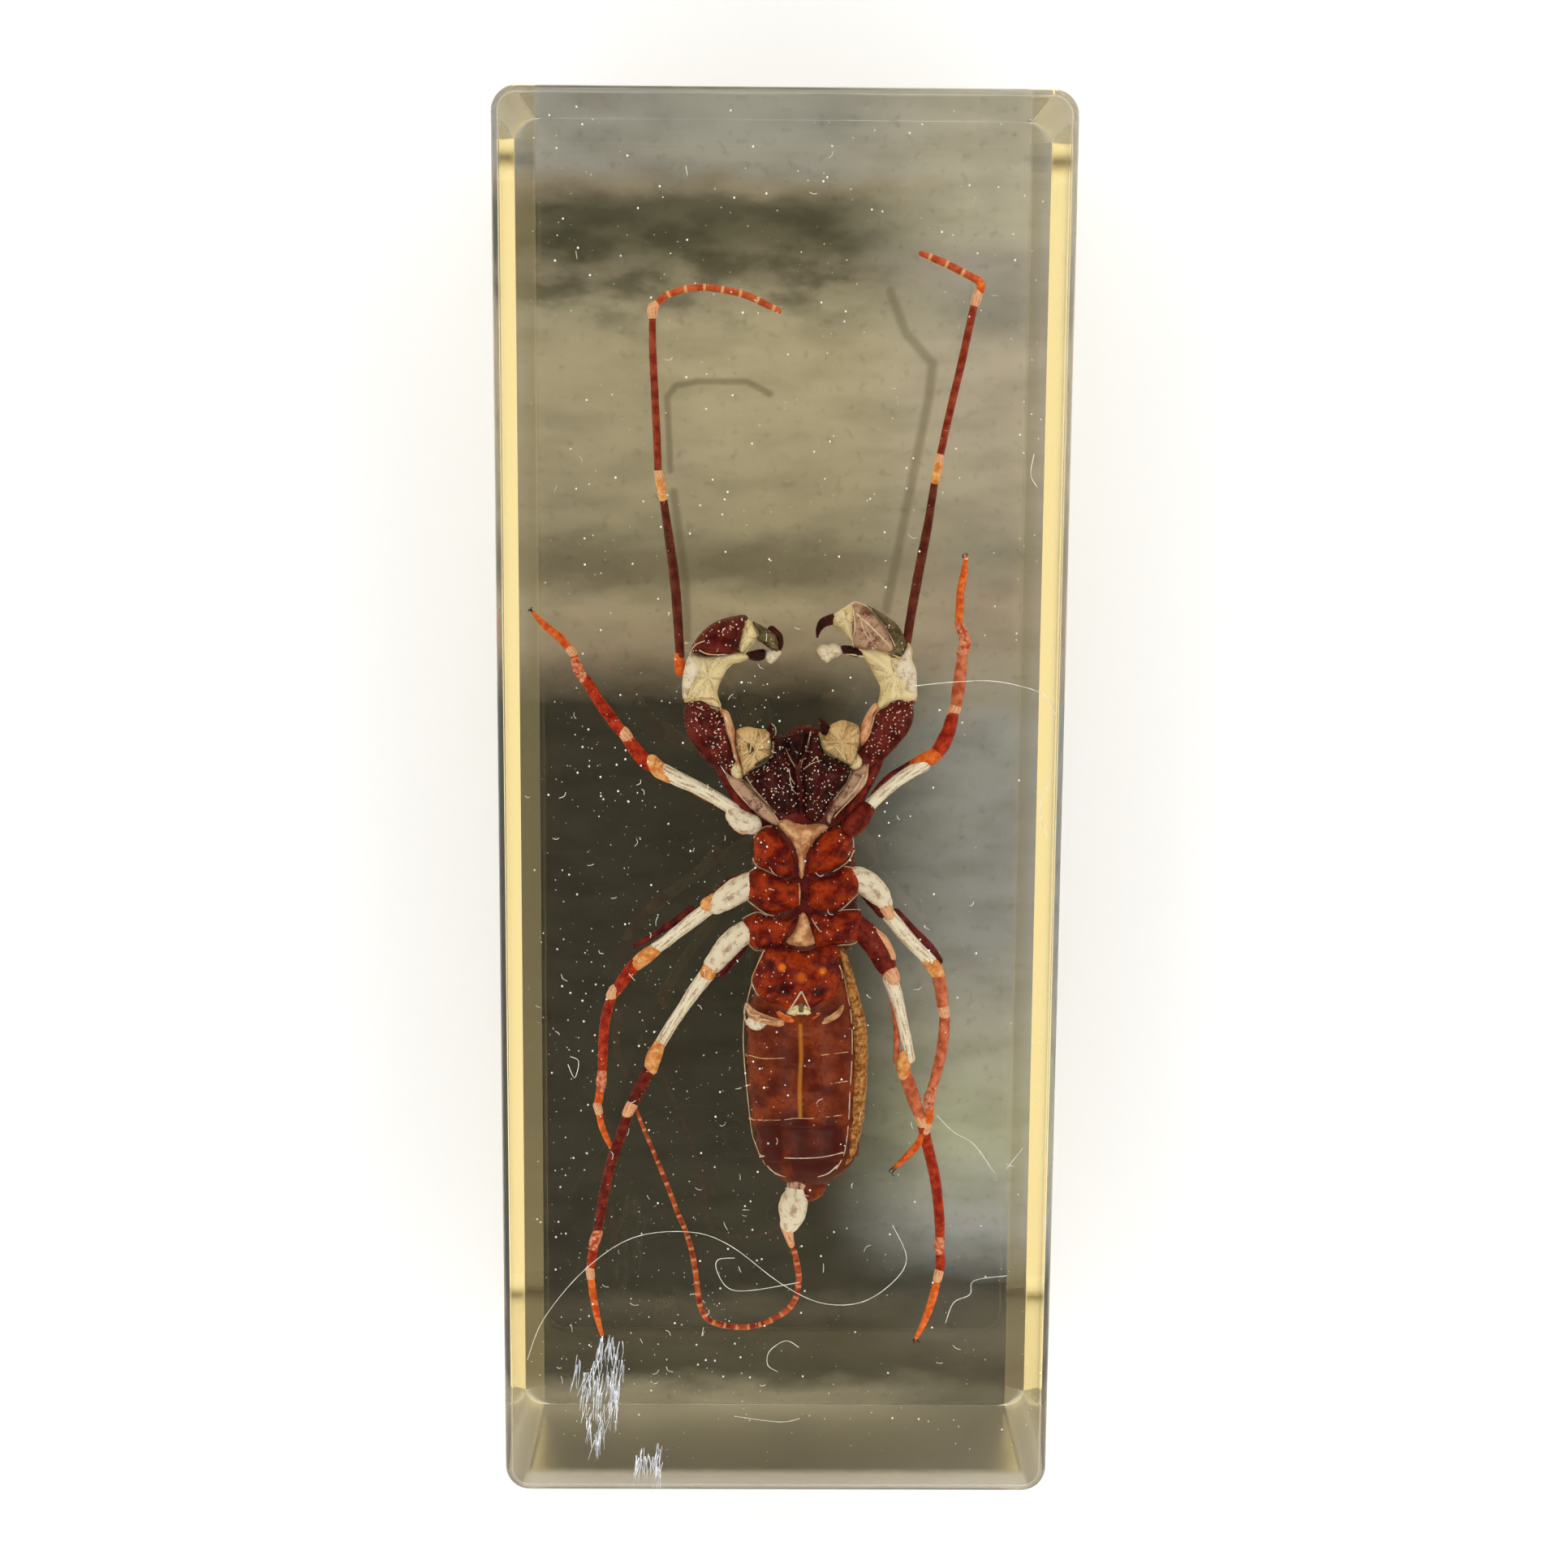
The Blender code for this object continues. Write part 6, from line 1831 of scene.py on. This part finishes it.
@dataclass(frozen=True)
class FaceWear:
    """Dust specks, lint and rub marks on the front face."""

    name: str = "dust_and_lint"
    level: float = 28.5
    speck_count: int = 1700
    seed: int = 20
    dust: Powder = Powder("white_dust")
    lint: Powder = Powder("pale_lint", light=(0.80, 0.80, 0.74), shade=(0.52, 0.50, 0.42))
    rub: Powder = Powder("rub_mark", light=(0.74, 0.76, 0.79), shade=(0.40, 0.42, 0.45))
    face: tuple[Pixel, Pixel] = ((650, 130), (1285, 1800))
    busy: tuple[Pixel, Pixel] = ((680, 840), (960, 1720))
    fibres: Lines = (((650, 1675), (670, 1625), (720, 1565), (780, 1525), (850, 1518), (900, 1535),
        (960, 1580), (1010, 1605), (1060, 1605), (1100, 1580), (1117, 1550), (1100, 1510)), ((905, 1550),
        (885, 1552), (883, 1565), (897, 1587), (925, 1590), (985, 1580)), ((1128, 845), (1180, 840),
        (1230, 840), (1285, 855), (1300, 880)), ((1155, 1375), (1175, 1395), (1200, 1410), (1225, 1445)),
        ((1240, 1440), (1260, 1415)), ((1165, 1630), (1175, 1605), (1195, 1595), (1200, 1578), (1240, 1572)),
        ((700, 1312), (708, 1328), (713, 1308), (703, 1302)), ((958, 1690), (946, 1682), (948, 1665),
        (968, 1652), (984, 1660)), ((1296, 960), (1284, 985), (1283, 1010), (1290, 1030)), ((775, 1200),
        (782, 1208)), ((845, 205), (847, 216)), ((1274, 560), (1270, 585), (1278, 600)), ((905, 1745),
        (960, 1752), (985, 1748)))
    fibre_half: float = 0.027
    rubs: tuple[Rub, ...] = (((748, 1645), (750, 1735), 18.0, 75), ((724, 1690), (738, 1775), 15.0, 60),
        ((766, 1650), (760, 1735), 7.0, 30), ((795, 1782), (790, 1806), 9.0, 20), ((812, 1778), (812, 1808),
        9.0, 24), ((712, 1668), (712, 1684), 4.0, 7))

    def build(self) -> bpy.types.Object:
        """Makes the dust, lint and rub marks.

        Returns:
            The piece.
        """
        carving = Carving(self.name)
        dice = random.Random(self.seed)
        for number in range(self.speck_count):
            low, high = self.busy if number % 4 == 0 else self.face
            pixel = (dice.uniform(low[0], high[0]), dice.uniform(low[1], high[1]))
            radius = dice.choice((0.025, 0.03, 0.03, 0.04, 0.045, 0.06, 0.09))
            carving.bead(EYE.at(pixel, self.level + radius * 0.3), radius, self.dust, 0.6)
        for number in range(self.speck_count // 18):
            low, high = self.busy if number % 2 else self.face
            start = (dice.uniform(low[0], high[0]), dice.uniform(low[1], high[1]))
            angle, length = dice.uniform(0, math.pi), dice.uniform(4, 11)
            bend = dice.uniform(-0.6, 0.6)
            line = [(start[0] + math.cos(angle + bend * k) * length * k / 2,
                     start[1] + math.sin(angle + bend * k) * length * k / 2) for k in range(3)]
            self._lay(carving, line, 0.021)
        for fibre in self.fibres:
            self._lay(carving, fibre, self.fibre_half)
        for rub in self.rubs:
            self._rub(carving, dice, rub)
        return carving.make(RESIN_SLOT)

    def _lay(self, carving: Carving, line: Line, half: float) -> None:
        """Lays one fibre of that half width on the face."""
        points = [EYE.at(pixel, self.level + half * 0.6) for pixel in line]
        carving.strand(points, half, self.lint, steps=5, sides=4)

    def _rub(self, carving: Carving, dice: random.Random, rub: Rub) -> None:
        """Lays the short brushed strokes of one rub mark.

        Args:
            carving: the wear so far.
            dice: the seeded scatter.
            rub: its upper end, its lower end, half its width in pixels and its number of strokes.
        """
        start, end, spread, count = rub
        for _ in range(count):
            along = dice.random()
            width = spread * (0.35 + 0.65 * math.sin(math.pi * min(along * 1.1, 1.0)))
            x = start[0] + (end[0] - start[0]) * along + dice.uniform(-width, width)
            y = start[1] + (end[1] - start[1]) * along
            length = dice.uniform(8, 34)
            lean = dice.uniform(-0.35, 0.1)
            line = [(x, y), (x + lean * length * 0.5 + dice.uniform(-1, 1), y + length * 0.5),
                    (x + lean * length, y + length)]
            points = [EYE.at(pixel, self.level + 0.01) for pixel in line]
            carving.strand(points, dice.uniform(0.02, 0.05), self.rub, steps=3, sides=4, taper=0.3)


@dataclass(frozen=True)
class Studio:
    """The pale floor, the soft light and the camera at the photograph's viewing angle."""

    floor_size: float = 3.0
    sky: tuple[tuple[float, float], ...] = ((0.0, 0.80), (0.15, 0.82), (0.35, 1.0), (0.60, 1.0), (0.70, 1.3),
        (0.75, 2.9), (0.80, 2.9), (0.845, 0.6), (0.89, 0.10), (1.0, 0.05))
    strength: float = 1.35
    near_clip: float = 0.001
    far_clip: float = 10.0

    def build(self) -> None:
        """Makes the floor, the sky and the camera."""
        bpy.context.scene.view_settings.view_transform = "Standard"
        self._lay_floor()
        self._light()
        self._set_camera()
        log.info("studio ready")

    def _lay_floor(self) -> None:
        """Lays the plain pale floor under the block."""
        form = bmesh.new()
        bmesh.ops.create_grid(form, x_segments=8, y_segments=8, size=self.floor_size / 2)
        mesh = bpy.data.meshes.new("floor")
        form.to_mesh(mesh)
        form.free()
        mesh.materials.append(PaleFloor("pale_floor").material())
        floor = bpy.data.objects.new("floor", mesh)
        bpy.context.scene.collection.objects.link(floor)

    def _light(self) -> None:
        """Lights the scene by a soft sky that is dimmer overhead, so that the face stays clear."""
        world = bpy.data.worlds.new("soft_sky")
        bpy.context.scene.world = world
        sheet = Sheet(world)
        _, _, rise = sheet.axes(Wire(sheet, sheet.node("ShaderNodeTexCoord").outputs["Generated"]))
        glow = sheet.ramp(rise, [(height, (value,) * 3) for height, value in self.sky])
        shine = sheet.node("ShaderNodeBackground", sockets={"Color": glow, "Strength": self.strength})
        sheet.node("ShaderNodeOutputWorld", sockets={"Surface": Wire(sheet, shine.outputs[0])})

    def _set_camera(self) -> None:
        """Sets the camera where the photograph was taken from."""
        lens = bpy.data.cameras.new("photo_camera")
        lens.sensor_width = EYE.sensor_mm
        lens.lens = EYE.focal_px / EYE.frame_px * EYE.sensor_mm
        lens.clip_start, lens.clip_end = self.near_clip, self.far_clip
        camera = bpy.data.objects.new("photo_camera", lens)
        camera.location = Vector(EYE.place) * MM
        camera.rotation_euler = EYE.turn()
        bpy.context.scene.collection.objects.link(camera)
        bpy.context.scene.camera = camera


def main() -> None:
    """Builds every piece in order."""
    logging.basicConfig(level=logging.INFO, format="%(name)s: %(message)s")
    bpy.ops.wm.read_factory_settings(use_empty=True)
    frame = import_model()
    DarkBacking().dress(frame["nodes"])
    ResinBlock().build()
    Carapace().build()
    Abdomen().build()
    for group in (CHEST, MOUTH, LOBES, PINCER_LEFT, PINCER_RIGHT, FIRST_PLATE):
        group.build()
    for limb in LIMBS:
        limb.build()
    Tail().build()
    FaceWear().build()
    Studio().build()


if __name__ == "__main__":
    main()
